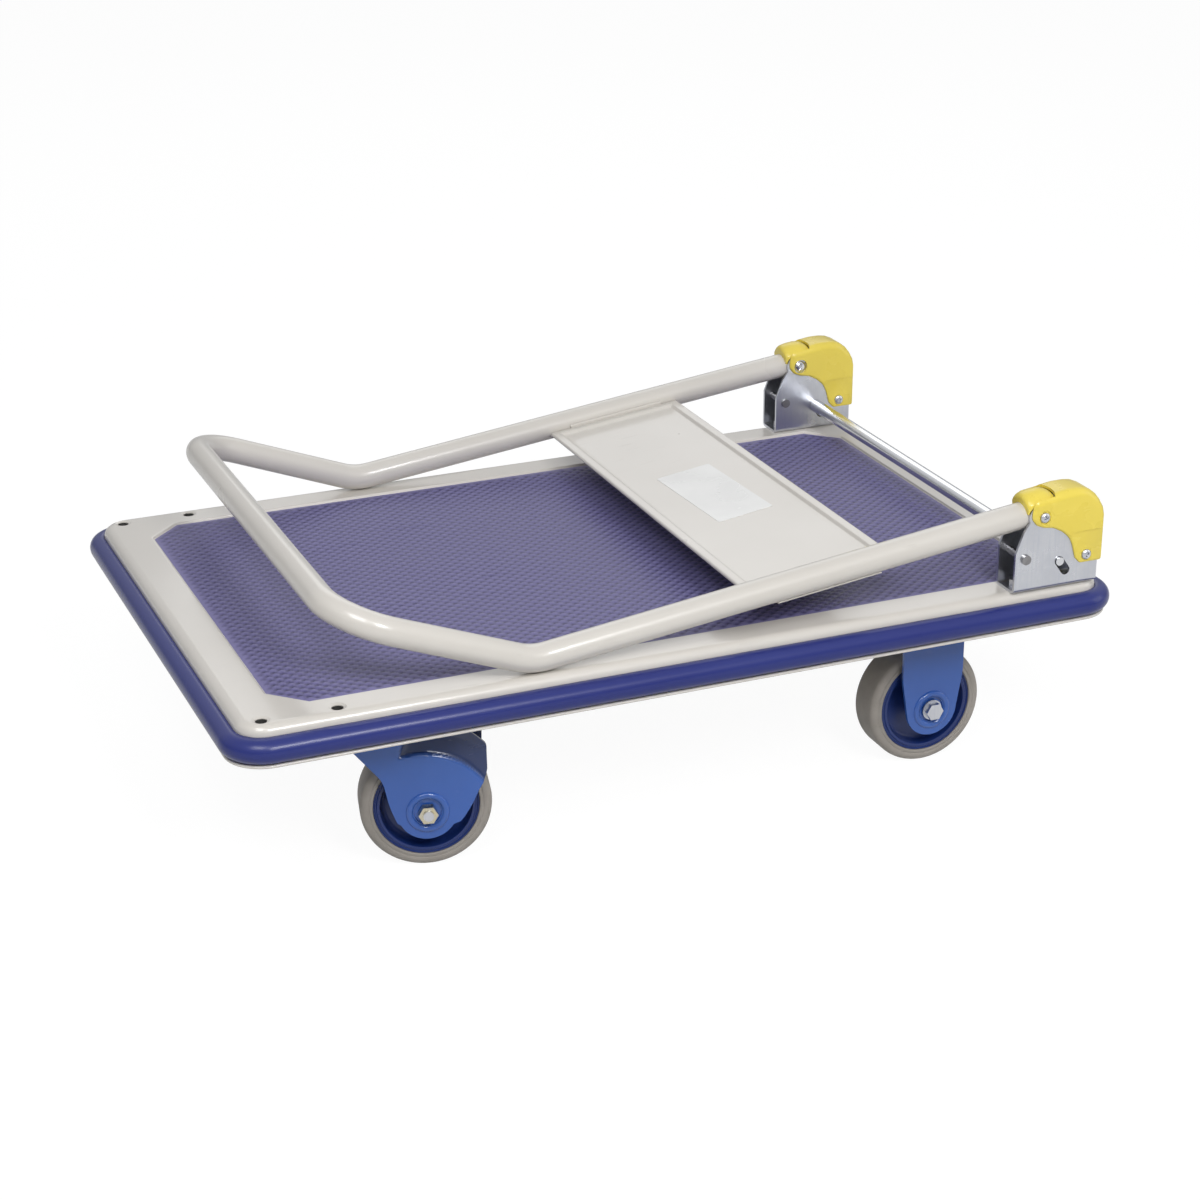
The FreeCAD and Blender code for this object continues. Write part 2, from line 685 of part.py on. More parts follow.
def make_swivel_plate(side):
    """Top plate of a front caster, with a flush seat for the kingpin's head."""
    body = new_body(f"swivel_plate_{side}")
    pad_top_plate(body)
    shank = [(0, 0, S.kingpin_radius + S.screw_gap)]
    prism(body, "Pocket", "pin_hole", "XY_Plane", shank, PLATE_LOW - 1, CASTER_TOP + 1)
    head = [(0, 0, S.kingpin_head + S.screw_gap)]
    head_low = CASTER_TOP - S.kingpin_head_height
    prism(body, "Pocket", "head_seat", "XY_Plane", head, head_low, CASTER_TOP + 1)
    place(body, *caster_spots()["front", side])


def make_swivel_bearing(side):
    """Race under the plate, balls, kingpin and its nut."""
    x, y = caster_spots()["front", side]
    race_low = CROWN_TOP + S.ball_diameter + 2 * S.ball_gap
    race = new_body(f"swivel_race_{side}")
    corners = [
        (S.race_bore, race_low),
        (S.race_radius, race_low),
        (S.race_radius, PLATE_LOW),
        (S.race_bore, PLATE_LOW),
    ]
    lathe(race, "ring", "XZ_Plane", corners)
    place(race, x, y)

    ball = solid("Sphere", f"ball_{side}", Radius=S.ball_diameter / 2)
    height = CROWN_TOP + S.ball_gap + S.ball_diameter / 2
    spots = []
    for index in range(BALLS):
        turn = 2 * math.pi * index / BALLS
        ball_x = x + S.ball_ring * math.cos(turn)
        ball_y = y + S.ball_ring * math.sin(turn)
        spots.append((ball_x, ball_y, height))
    copies(f"swivel_balls_{side}", ball, spots)

    nut_top = CROWN_TOP - S.fork_sheet - S.kingpin_nut_gap
    pin_low = nut_top - S.kingpin_nut - S.bolt_stub
    head_low = CASTER_TOP - S.kingpin_head_height
    pin = new_body(f"kingpin_{side}")
    corners = [
        (0, pin_low),
        (S.kingpin_radius, pin_low),
        (S.kingpin_radius, head_low),
        (S.kingpin_head, head_low),
        (S.kingpin_head, CASTER_TOP),
        (0, CASTER_TOP),
    ]
    lathe(pin, "pin", "XZ_Plane", corners)
    place(pin, x, y)

    bore = S.kingpin_radius + S.screw_gap
    nut = hex_nut(f"kingpin_nut_shape_{side}", S.kingpin_flats, S.kingpin_nut, bore)
    copies(f"kingpin_nut_{side}", nut, [(x, y, nut_top - S.kingpin_nut)])


def cut_axle(body, x):
    """Axle hole through both cheeks and the embossed ring round it."""
    half = S.fork_half_width
    ring = [(x, AXLE_Z, S.boss_outside), (x, AXLE_Z, S.boss_inside)]
    prism(body, "Pad", "ring_a", "XZ_Plane", ring, half, half + S.boss_height)
    prism(body, "Pad", "ring_b", "XZ_Plane", ring, -half - S.boss_height, -half)
    hole = [(x, AXLE_Z, S.bolt_radius + S.running_gap)]
    prism(body, "Pocket", "axle_hole", "XZ_Plane", hole, -half - 2, half + 2)


def make_swivel_fork(side):
    """Pressed fork: round crown in front, cheeks that bulge round the wheel."""
    body = new_body(f"swivel_fork_{side}")
    half = S.fork_half_width
    front = [
        (-S.crown_radius, CROWN_TOP),
        (-16.6, CROWN_TOP - 12.7),
        (0, CROWN_TOP - 32.7),
        (0, CROWN_TOP),
    ]
    prism(body, "Pad", "front", "XZ_Plane", [front], -half, half)
    ring = [(0, 0, S.crown_radius + REACH), (0, 0, S.crown_radius)]
    prism(body, "Pocket", "round_front", "XY_Plane", ring, CROWN_TOP - 40, CROWN_TOP + 1)
    x = S.trail
    cheek = [
        (0, CROWN_TOP),
        (0, CROWN_TOP - 32.7),
        (4.2, CROWN_TOP - 37.8),
        (7.6, AXLE_Z + 17),
        (x - 26.4, AXLE_Z + 1),
        (x - 22.4, AXLE_Z - 9),
        (x - 13.5, AXLE_Z - 17.8),
        (x + 12.5, AXLE_Z - 18.5),
        (x + 23.4, AXLE_Z - 11),
        (x + 31.5, AXLE_Z),
        (x + 38.8, AXLE_Z + 15),
        (x + 44.6, AXLE_Z + 25),
        (x + 46, AXLE_Z + 30),
        (x + 46, CROWN_TOP - 17.7),
        (x + 27, CROWN_TOP),
    ]
    prism(body, "Pad", "cheeks", "XZ_Plane", [cheek], -half, half)
    prism(body, "Pad", "lobe", "XZ_Plane", [(x, AXLE_Z, S.fork_lobe)], -half, half)

    # The upper part is set in: only what lies inside the bulge keeps the full width.
    bulge_x = x - 5
    bulge_z = AXLE_Z - 10.2
    inset = half - S.fork_inset
    frame = rectangle(2.5 * S.fork_bulge, 2.5 * S.fork_bulge, bulge_x, bulge_z)
    loops = [frame, (bulge_x, bulge_z, S.fork_bulge)]
    prism(body, "Pocket", "inset_a", "XZ_Plane", loops, inset, half + 1)
    prism(body, "Pocket", "inset_b", "XZ_Plane", loops, -half - 1, -inset)

    web_low = CROWN_TOP - S.fork_sheet
    inside = rectangle(REACH * 2, (web_low + 1) / 2, x, (web_low - 1) / 2)
    narrow = inset - S.fork_sheet
    prism(body, "Pocket", "inside", "XZ_Plane", [inside], -narrow, narrow)
    loops = [(bulge_x, bulge_z, S.fork_bulge - S.fork_sheet)]
    prism(body, "Pocket", "inside_bulge", "XZ_Plane", loops, -FORK_IN, FORK_IN)
    hole = [(0, 0, S.kingpin_radius + S.running_gap)]
    prism(body, "Pocket", "pin_hole", "XY_Plane", hole, web_low - 1, CROWN_TOP + 1)
    cut_axle(body, x)
    place(body, *caster_spots()["front", side], 0, ABOUT_MINUS_Z, S.swivel_turn)


def make_fixed_fork(side):
    """Fork of a rear caster with its own top plate."""
    body = new_body(f"fixed_fork_{side}")
    pad_top_plate(body)
    half = S.fork_half_width
    reach = S.fixed_fork_reach
    cheek = [
        (-reach, PLATE_LOW),
        (-reach, AXLE_Z + 28),
        (-22.1, AXLE_Z - 3.8),
        (22.1, AXLE_Z - 3.8),
        (reach, AXLE_Z + 28),
        (reach, PLATE_LOW),
    ]
    prism(body, "Pad", "cheeks", "XZ_Plane", [cheek], -half, half)
    prism(body, "Pad", "lobe", "XZ_Plane", [(0, AXLE_Z, S.fork_lobe)], -half, half)
    web_low = PLATE_LOW - S.fork_sheet
    inside = rectangle(REACH, (web_low + 1) / 2, 0, (web_low - 1) / 2)
    prism(body, "Pocket", "inside", "XZ_Plane", [inside], -FORK_IN, FORK_IN)
    cut_axle(body, 0)
    place(body, *caster_spots()["rear", side])


def wheel_spots():
    """Wheel centres: x, y and the angle about -Z of each."""
    spots = {}
    turn = math.radians(S.swivel_turn.number)
    for side in SIDES:
        x, y = caster_spots()["front", side]
        cosine = Size(math.cos(turn), "cos(sizes.swivel_turn)")
        sine = Size(math.sin(turn), "sin(sizes.swivel_turn)")
        spots["front", side] = (x + S.trail * cosine, y - S.trail * sine, S.swivel_turn)
        spots["rear", side] = (*caster_spots()["rear", side], 0)
    return spots


def make_wheel(end, side):
    """Tyre and wheel centre, turned about the axle."""
    x, y, turn = wheel_spots()[end, side]
    tyre = new_body(f"{end}_tyre_{side}")
    half = S.tyre_width / 2
    outside = S.wheel_diameter / 2
    corners = [
        (S.rim_radius, -half),
        (outside, -half),
        (outside, half),
        (S.rim_radius, half),
    ]
    lathe(tyre, "tread", "XY_Plane", corners)
    round_edges(
        tyre, "shoulders", S.tyre_round, lambda p, d, e: near(e.Length, outside * 2 * math.pi, 1)
    )
    place(tyre, x, y, AXLE_Z, ABOUT_MINUS_Z, turn)

    centre = new_body(f"{end}_wheel_centre_{side}")
    bore = S.sleeve_radius + S.running_gap
    hub = FORK_IN - S.hub_side_gap
    web = S.wheel_web / 2
    rim_out = S.rim_radius - S.rim_gap
    rim_in = S.rim_radius - S.rim_thickness
    rim = S.rim_width / 2
    upper = [
        (bore, hub),
        (S.hub_radius, hub),
        (S.hub_radius, web),
        (rim_in, web),
        (rim_in, rim),
        (rim_out, rim),
    ]
    lower = [(radius, -height) for radius, height in reversed(upper)]
    lathe(centre, "section", "XY_Plane", upper + lower)
    place(centre, x, y, AXLE_Z, ABOUT_MINUS_Z, turn)


def make_axles():
    """Bolt, nut and spacer sleeve of every wheel."""
    grip = 2 * S.fork_half_width + S.nut_height + S.bolt_stub
    bolt = hex_bolt("axle_bolt_shape", grip, S.axle_flange)
    nut = hex_nut("axle_nut_shape", S.bolt_flats, S.nut_height, S.bolt_radius + S.screw_gap)
    sleeve_half = FORK_IN - S.sleeve_side_gap
    sleeve = doc.addObject("Part::Cut", "sleeve_shape")
    sleeve.Base = solid(
        "Cylinder", "sleeve_outside", z=-sleeve_half, Radius=S.sleeve_radius, Height=2 * sleeve_half
    )
    sleeve.Tool = solid(
        "Cylinder",
        "sleeve_bore",
        z=-sleeve_half - 1,
        Radius=S.bolt_radius + S.running_gap,
        Height=2 * sleeve_half + 2,
    )

    # The rear bolts go in from outside, and the front ones from inside.
    rear_bolts = []
    rear_nuts = []
    rear_sleeves = []
    for side, sign in SIDES.items():
        x, y, _ = wheel_spots()["rear", side]
        outwards = TO_PLUS_Y if sign == RIGHT else TO_MINUS_Y
        inwards = TO_MINUS_Y if sign == RIGHT else TO_PLUS_Y
        rear_bolts.append((x, y + S.fork_half_width * sign, AXLE_Z, *outwards))
        rear_nuts.append((x, y - S.fork_half_width * sign, AXLE_Z, *inwards))
        rear_sleeves.append((x, y, AXLE_Z, *outwards))
    copies("rear_axle_bolts", bolt, rear_bolts)
    copies("rear_axle_nuts", nut, rear_nuts)
    copies("rear_axle_sleeves", sleeve, rear_sleeves)

    for side, sign in SIDES.items():
        x, y, turn = wheel_spots()["front", side]
        angle = math.radians(turn.number)
        step_x = S.fork_half_width * Size(math.sin(angle), "sin(sizes.swivel_turn)") * sign
        step_y = S.fork_half_width * Size(math.cos(angle), "cos(sizes.swivel_turn)") * sign
        around = FreeCAD.Rotation(ABOUT_MINUS_Z, turn.number)
        outwards = FreeCAD.Rotation(*(TO_PLUS_Y if sign == RIGHT else TO_MINUS_Y))
        inwards = FreeCAD.Rotation(*(TO_MINUS_Y if sign == RIGHT else TO_PLUS_Y))
        out = around.multiply(outwards)
        back = around.multiply(inwards)
        inner = (x - step_x, y - step_y, AXLE_Z, back.Axis, math.degrees(back.Angle))
        outer = (x + step_x, y + step_y, AXLE_Z, out.Axis, math.degrees(out.Angle))
        middle = (x, y, AXLE_Z, out.Axis, math.degrees(out.Angle))
        copies(f"front_axle_bolt_{side}", bolt, [inner])
        copies(f"front_axle_nut_{side}", nut, [outer])
        copies(f"front_axle_sleeve_{side}", sleeve, [middle])


def make_caster_bolts():
    """Four bolts and nuts through each top plate and its rail."""
    length = S.top_plate_thickness + S.rail_sheet + S.nut_height + S.bolt_stub
    bolt = hex_bolt("caster_bolt_shape", length)
    nut = hex_nut("caster_nut_shape", S.bolt_flats, S.nut_height, S.bolt_radius + S.screw_gap)
    bolts = []
    nuts = []
    for x, y in caster_spots().values():
        for hole_x, hole_y, _ in plate_holes():
            bolts.append((x + hole_x, y + hole_y, PLATE_LOW, *UPSIDE_DOWN))
            nuts.append((x + hole_x, y + hole_y, CASTER_TOP + S.rail_sheet))
    copies("caster_bolts", bolt, bolts)
    copies("caster_nuts", nut, nuts)


# ---- hinge brackets ---------------------------------------------------------------------

def make_hinge_bracket(side):
    """U-shaped bracket that carries the pivot, the stop pin and the lock bar."""
    body = new_body(f"hinge_bracket_{side}")
    x = PIVOT_X
    z = PIVOT_Z
    outline = [
        (BRACKET_FRONT, DECK_TOP),
        (BRACKET_FRONT, DECK_TOP + S.bracket_front_rise),
        (x - 16.7, z - 11.1),
        (x - 10.9, z - 2.7),
        (x, z),
        (x + 9.5, z - 9.6),
        (x + 16.4, z - 13.2),
        (x + 24.4, z - 18.5),
        (x + 45.6, z - 22.7),
        (BRACKET_REAR, z - 32.7),
        (BRACKET_REAR, DECK_TOP),
    ]
    prism(body, "Pad", "cheeks", "XZ_Plane", [outline], -CHEEK_OUT, CHEEK_OUT)
    lobe = [(x, z, S.bracket_lobe)]
    prism(body, "Pad", "lobe", "XZ_Plane", lobe, -CHEEK_OUT, CHEEK_OUT)
    round_edges(
        body,
        "outside_bend",
        S.bracket_bend,
        lambda p, d, e: near(p.z, DECK_TOP) and near(abs(p.y), CHEEK_OUT),
    )
    floor = DECK_TOP + S.bracket_sheet
    inside = rectangle(CHEEK_IN, REACH, 0, floor + REACH)
    low = BRACKET_FRONT - 1
    prism(body, "Pocket", "inside", "YZ_Plane", [inside], low, BRACKET_REAR + 1)
    round_edges(
        body,
        "inside_bend",
        S.bracket_bend - S.bracket_sheet,
        lambda p, d, e: near(p.z, floor) and near(abs(p.y), CHEEK_IN) and abs(d.x) > 0.999,
    )

    travel = root(S.lock_run * S.lock_run + S.lock_fall * S.lock_fall)
    half_slot = S.lock_slot / 2
    side_x = half_slot * S.lock_fall / travel
    side_z = half_slot * S.lock_run / travel
    end_x = LOCK_X + S.lock_run
    end_z = LOCK_Z - S.lock_fall
    slot = [
        (LOCK_X - side_x, LOCK_Z - side_z),
        (end_x - side_x, end_z - side_z),
        (end_x + side_x, end_z + side_z),
        (LOCK_X + side_x, LOCK_Z + side_z),
    ]
    cheeks = (-CHEEK_OUT - 1, CHEEK_OUT + 1)
    prism(body, "Pocket", "slot", "XZ_Plane", [slot], *cheeks)
    top = [(LOCK_X, LOCK_Z, half_slot)]
    prism(body, "Pocket", "slot_top", "XZ_Plane", top, *cheeks)
    end = [(end_x, end_z, half_slot)]
    prism(body, "Pocket", "slot_end", "XZ_Plane", end, *cheeks)
    holes = [
        (x, z, S.pivot_radius + S.screw_gap),
        (STOP_X, DECK_TOP + S.stop_rise, S.stop_radius + S.screw_gap),
        (x + S.cover_screw_x, z - S.cover_screw_drop, S.cover_screw_radius + S.screw_gap),
    ]
    prism(body, "Pocket", "cross_holes", "XZ_Plane", holes, *cheeks)
    offset = (FOOT_BOLT_Y - HINGE_Y) * SIDES[side]
    feet = [
        (FOOT_BOLT_X + S.foot_bolt_spacing * half, offset, BOLT_HOLE) for half in (-0.5, 0.5)
    ]
    prism(body, "Pocket", "foot_holes", "XY_Plane", feet, DECK_TOP - 1, floor + 1)
    place(body, y=HINGE_Y * SIDES[side])


def make_bracket_fasteners():
    """Two bolts and nuts for each bracket."""
    floor = DECK_TOP + S.bracket_sheet
    length = S.bracket_sheet + S.deck_sheet + S.nut_height + S.bolt_stub
    bolt = hex_bolt("bracket_bolt_shape", length)
    nut = hex_nut("bracket_nut_shape", S.bolt_flats, S.nut_height, S.bolt_radius + S.screw_gap)
    spots = [
        (FOOT_BOLT_X + S.foot_bolt_spacing * half, FOOT_BOLT_Y * side)
        for half in (-0.5, 0.5)
        for side in (LEFT, RIGHT)
    ]
    copies("bracket_bolts", bolt, [(*spot, floor) for spot in spots])
    under = SHEET_LOW - S.nut_height - S.deck_nut_gap
    copies("bracket_nuts", nut, [(*spot, under) for spot in spots])


def make_pivot_pin(side):
    """Pin with a domed head towards the middle of the cart and a tapped outer end."""
    body = new_body(f"pivot_pin_{side}")
    tap = S.cover_screw_radius + S.screw_gap
    tap_end = COVER_OUT - S.cover_screw_grip - 0.5
    dome = CHEEK_OUT + S.pivot_head_height
    corners = [
        (tap, -CHEEK_OUT),
        (S.pivot_radius, -CHEEK_OUT),
        (S.pivot_radius, CHEEK_OUT),
        (S.pivot_head, CHEEK_OUT),
        (S.pivot_head, CHEEK_OUT + S.pivot_head_height / 3),
        (S.pivot_head * 0.7, CHEEK_OUT + S.pivot_head_height * 0.8),
        (0, dome),
        (0, -tap_end),
        (tap, -tap_end),
    ]
    lathe(body, "pin", "XY_Plane", corners)
    place(body, PIVOT_X, HINGE_Y * SIDES[side], PIVOT_Z, ABOUT_Z, 0 if side == "left" else 180)


def make_stop_pins():
    """Riveted pin in front of the upright tube, one in each bracket."""
    shape = doc.addObject("Part::MultiFuse", "stop_pin_shape")
    end = CHEEK_OUT + S.stop_head_height
    shape.Shapes = [
        solid("Cylinder", "stop_shank", z=-CHEEK_OUT, Radius=S.stop_radius, Height=2 * CHEEK_OUT),
        solid("Cylinder", "stop_head_a", z=CHEEK_OUT, Radius=S.stop_head, Height=S.stop_head_height),
        solid("Cylinder", "stop_head_b", z=-end, Radius=S.stop_head, Height=S.stop_head_height),
    ]
    height = DECK_TOP + S.stop_rise
    spots = [(STOP_X, HINGE_Y * side, height, *TO_PLUS_Y) for side in (LEFT, RIGHT)]
    copies("stop_pins", shape, spots)


def make_hinge_cover(side):
    """Moulded shell over the bracket: two sides, a back, and a top with a mouth in it."""
    body = doc.addObject("PartDesign::Body", f"cover_outside_{side}")
    x = PIVOT_X
    z = PIVOT_Z
    top = z + S.cover_top
    back = x + S.cover_back
    tail = z - S.cover_tail
    front = x - S.cover_front
    outline = [
        (front, z + 4),
        (front, top),
        (back, top),
        (back, tail),
        (back - 20, tail),
        (x + 31.2, tail + 4.6),
        (x + 27.6, z - 27.3),
        (x + 24.4, z - 20.9),
        (x + 17.6, z - 15),
        (x + 8.8, z - 10.5),
        (x + 0.3, z - 9.2),
        (x - 6.2, z - 6.5),
        (x - 10.2, z - 1.6),
    ]
    prism(body, "Pad", "shell", "XZ_Plane", [outline], -COVER_OUT, COVER_OUT)
    round_edges(
        body,
        "back_corner",
        S.cover_corner,
        lambda p, d, e: along_y(d) and near(p.x, back) and near(p.z, top),
    )
    round_edges(
        body,
        "front_corner",
        S.cover_front_round,
        lambda p, d, e: along_y(d) and near(p.x, front) and near(p.z, top),
    )
    round_edges(
        body,
        "side_edges",
        S.cover_edge_round,
        lambda p, d, e: near(abs(p.y), COVER_OUT) and (near(p.z, top) or near(p.x, back)),
    )
    ceiling = top - S.cover_wall
    wall = back - S.cover_wall
    mouth = x + S.cover_mouth
    loops = [
        [
            (front - 5, -COVER_IN),
            (mouth, -COVER_IN),
            (mouth, COVER_IN),
            (front - 5, COVER_IN),
        ]
    ]
    prism(body, "Pocket", "mouth", "XY_Plane", loops, ceiling - 1, top + 1)
    round_edges(
        body,
        "mouth_corners",
        S.cover_mouth_round,
        lambda p, d, e: upright(d) and near(p.x, mouth) and near(abs(p.y), COVER_IN),
    )
    lower = (x + S.cover_screw_x, z - S.cover_screw_drop, S.cover_screw_radius + 0.2)
    through = (-COVER_OUT - 1, COVER_OUT + 1)
    prism(body, "Pocket", "lower_holes", "XZ_Plane", [lower], *through)
    window = [(x, z, S.pin_window)]
    upper = [(x, z, S.cover_screw_radius + 0.2)]
    if side == "left":
        prism(body, "Pocket", "pin_window", "XZ_Plane", window, 0, COVER_OUT + 1)
        prism(body, "Pocket", "upper_hole", "XZ_Plane", upper, -COVER_OUT - 1, 0)
    else:
        prism(body, "Pocket", "pin_window", "XZ_Plane", window, -COVER_OUT - 1, 0)
        prism(body, "Pocket", "upper_hole", "XZ_Plane", upper, 0, COVER_OUT + 1)
    hollow = doc.addObject("PartDesign::Body", f"cover_inside_{side}")
    room = [
        (front - REACH, tail - REACH),
        (wall, tail - REACH),
        (wall, ceiling),
        (front - REACH, ceiling),
    ]
    prism(hollow, "Pad", "room", "XZ_Plane", [room], -COVER_IN, COVER_IN)
    round_edges(
        hollow,
        "inside_corner",
        S.cover_corner - S.cover_wall,
        lambda p, d, e: along_y(d) and near(p.x, wall) and near(p.z, ceiling),
    )
    cover = doc.addObject("Part::Cut", f"hinge_cover_{side}")
    cover.Base = body
    cover.Tool = hollow
    node(cover, f"hinge_cover_{side}")
    place(cover, y=HINGE_Y * SIDES[side])


def make_cover_screws():
    """Lower screw from both sides of each cover, upper one from outside into the pivot pin."""
    shape = doc.addObject("Part::MultiFuse", "cover_screw_shape")
    grip = S.cover_screw_grip
    shape.Shapes = [
        solid("Cylinder", "screw_shank", z=-grip, Radius=S.cover_screw_radius, Height=grip),
        solid(
            "Cylinder",
            "screw_head",
            Radius=S.cover_screw_head,
            Height=S.cover_screw_head_height,
        ),
    ]
    lower_x = PIVOT_X + S.cover_screw_x
    lower_z = PIVOT_Z - S.cover_screw_drop
    spots = []
    for sign in (LEFT, RIGHT):
        outer = (HINGE_Y + COVER_OUT) * sign
        inner = (HINGE_Y - COVER_OUT) * sign
        outwards = TO_PLUS_Y if sign == RIGHT else TO_MINUS_Y
        inwards = TO_MINUS_Y if sign == RIGHT else TO_PLUS_Y
        spots.append((PIVOT_X, outer, PIVOT_Z, *outwards))
        spots.append((lower_x, outer, lower_z, *outwards))
        spots.append((lower_x, inner, lower_z, *inwards))
    copies("cover_screws", shape, spots)


# ---- lock -------------------------------------------------------------------------------

def make_lock_bar():
    """Foot bar between the brackets, with a thinner pin at each end in the slots."""
    body = new_body("lock_bar")
    shoulder = HINGE_Y - CHEEK_OUT - S.lock_end_gap
    end = HINGE_Y + CHEEK_OUT + S.lock_overhang
    upper = [
        (0, end),
        (S.lock_pin_radius, end),
        (S.lock_pin_radius, shoulder),
        (S.lock_bar_radius, shoulder),
    ]
    lower = [(radius, -height) for radius, height in reversed(upper)]
    lathe(body, "bar", "XY_Plane", upper + lower)
    place(body, LOCK_X, 0, LOCK_Z)


def make_lock_spring(side):
    """Compression spring between the bracket's foot and the bar's end pin."""
    body = new_body(f"lock_spring_{side}")
    floor = DECK_TOP + S.bracket_sheet
    room = LOCK_Z - S.lock_pin_radius - floor
    rise = room - 2 * (S.spring_wire + S.spring_seat)
    start = S.spring_wire + S.spring_seat
    wire = sketch_on(body, "XZ_Plane", [(S.spring_radius, start, S.spring_wire)], 0, "wire")
    coil = body.newObject("PartDesign::AdditiveHelix", "coil")
    coil.Profile = wire
    coil.ReferenceAxis = (wire, ["V_Axis"])
    coil.Mode = "pitch-height-angle"
    bind(coil, "Pitch", rise / S.spring_turns)
    bind(coil, "Height", rise)
    doc.recompute()
    place(body, LOCK_X + S.lock_run / 2, HINGE_Y * SIDES[side], floor)


# ---- handle -----------------------------------------------------------------------------

def rounded_path(points, radii):
    """Wire of straight runs joined by tangent arcs at the inner points."""
    edges = []
    start = points[0]
    for before, corner, after, radius in zip(points, points[1:], points[2:], radii):
        back = (before - corner).normalize()
        ahead = (after - corner).normalize()
        half_turn = (math.pi - back.getAngle(ahead)) / 2
        length = radius * math.tan(half_turn)
        entry = corner + back * length
        leave = corner + ahead * length
        inwards = (back + ahead).normalize()
        middle = corner + inwards * (radius / math.cos(half_turn) - radius)
        edges.append(Part.LineSegment(start, entry).toShape())
        edges.append(Part.Arc(entry, middle, leave).toShape())
        start = leave
    edges.append(Part.LineSegment(start, points[-1]).toShape())
    return Part.Wire(edges)


def handle_points():
    """Corners of the handle's centre line from the left tail to the right one."""
    lower = math.radians(S.lower_leg_slope.number)
    upper = math.radians(S.upper_leg_slope.number)
    pivot_x = PIVOT_X.number
    pivot_z = PIVOT_Z.number
    tail = S.tube_tail.number
    bend = S.crank_bend.number
    # The bend's arc is the lowest stretch of the tube, just above the deck.
    lowest = DECK_TOP.number + S.tube_radius.number + S.handle_rest_gap.number
    arc_rise = bend * (math.cos((upper - lower) / 2) / math.cos((upper + lower) / 2) - 1)
    crank_z = lowest - arc_rise
    crank_x = pivot_x - (pivot_z - crank_z) / math.tan(lower)
    grip_x = crank_x - S.upper_leg_length.number * math.cos(upper)
    grip_z = crank_z + S.upper_leg_length.number * math.sin(upper)
    side = HINGE_Y.number
    leg = [
        (pivot_x + tail * math.cos(lower), pivot_z + tail * math.sin(lower)),
        (crank_x, crank_z),
        (grip_x, grip_z),
    ]
    left = [FreeCAD.Vector(x, -side, z) for x, z in leg]
    right = [FreeCAD.Vector(x, side, z) for x, z in reversed(leg)]
    return left + right


def make_handle_tube():
    """One bent tube: two cranked legs and the grip between them."""
    points = handle_points()
    radii = [S.crank_bend.number, S.grip_bend.number, S.grip_bend.number, S.crank_bend.number]
    path = rounded_path(points, radii)
    direction = points[1] - points[0]

    def swept(radius):
        ring = Part.Wire(Part.Circle(points[0], direction, radius).toShape())
        return path.makePipeShell([ring], True, False)

    outside = swept(S.tube_radius.number)
    tube = outside.cut(swept(S.tube_radius.number - S.tube_wall.number))
    bore = S.pivot_radius.number + S.running_gap.number
    reach = S.tube_radius.number + 1
    for side in (LEFT, RIGHT):
        foot = FreeCAD.Vector(PIVOT_X.number, HINGE_Y.number * side - reach, PIVOT_Z.number)
        tube = tube.cut(Part.makeCylinder(bore, 2 * reach, foot, FreeCAD.Vector(0, 1, 0)))
    item = doc.addObject("Part::Feature", "handle_tube")
    item.Shape = tube
    return node(item, "handle_tube")


def place_on_legs(item, y=0):
    """Put a piece at the pivot, with its X along the lower legs."""
    place(item, PIVOT_X, y, PIVOT_Z, ABOUT_MINUS_Y, S.lower_leg_slope)


def make_handle_panel():
    """Pressed panel between the legs, with a rim all round and a saddle under each tube."""
    body = new_body("handle_panel")
    middle = -(S.panel_near + S.panel_far) / 2
    half_x = (S.panel_far - S.panel_near) / 2
    half_y = HINGE_Y - S.tube_radius - S.panel_tube_gap
    rim_top = -S.panel_rim_drop
    floor_top = -S.panel_floor_drop
    floor_low = floor_top - S.panel_sheet
    loops = [rectangle(half_x, half_y, middle)]
    prism(body, "Pad", "blank", "XY_Plane", loops, floor_low, rim_top)
    rim = S.panel_rim
    loops = [rectangle(half_x - rim, half_y - rim, middle)]
    prism(body, "Pocket", "floor", "XY_Plane", loops, floor_top, rim_top + 1)
    wall = S.panel_sheet
    inner = rim - wall
    loops = [
        rectangle(half_x - wall, half_y - wall, middle),
        rectangle(half_x - inner, half_y - inner, middle),
    ]
    prism(body, "Pocket", "rim_hollow", "XY_Plane", loops, floor_low - 1, rim_top - wall)

    # The saddles are strips of a ring round each tube, from the panel to just past its middle.
    inside = S.tube_radius + S.saddle_gap
    outside = inside + S.panel_sheet
    rings = []
    tops = []
    ends = []
    for side in (LEFT, RIGHT):
        y = HINGE_Y * side
        rings += [(y, 0, outside), (y, 0, inside)]
        tops.append(rectangle((outside + 1 + inside) / 2, REACH / 4, y + 0.5 * side, REACH / 4 - 1.3))
        ends.append(rectangle(REACH / 8, REACH / 4, y + (S.saddle_reach + REACH / 8) * side, 0))
    saddle = (-S.saddle_far, -S.saddle_near)
    prism(body, "Pad", "saddles", "YZ_Plane", rings, *saddle)
    prism(body, "Pocket", "saddle_tops", "YZ_Plane", tops, *saddle)
    prism(body, "Pocket", "saddle_ends", "YZ_Plane", ends, *saddle)
    place_on_legs(body)


def make_panel_label():
    """Blank label stuck on the panel's floor."""
    body = new_body("panel_label")
    low = S.label_gap - S.panel_floor_drop
    loops = [rectangle(S.label_length / 2, S.label_width / 2, -S.label_middle, -S.label_offset)]
    prism(body, "Pad", "label", "XY_Plane", loops, low, low + S.label_thickness)
    place_on_legs(body)


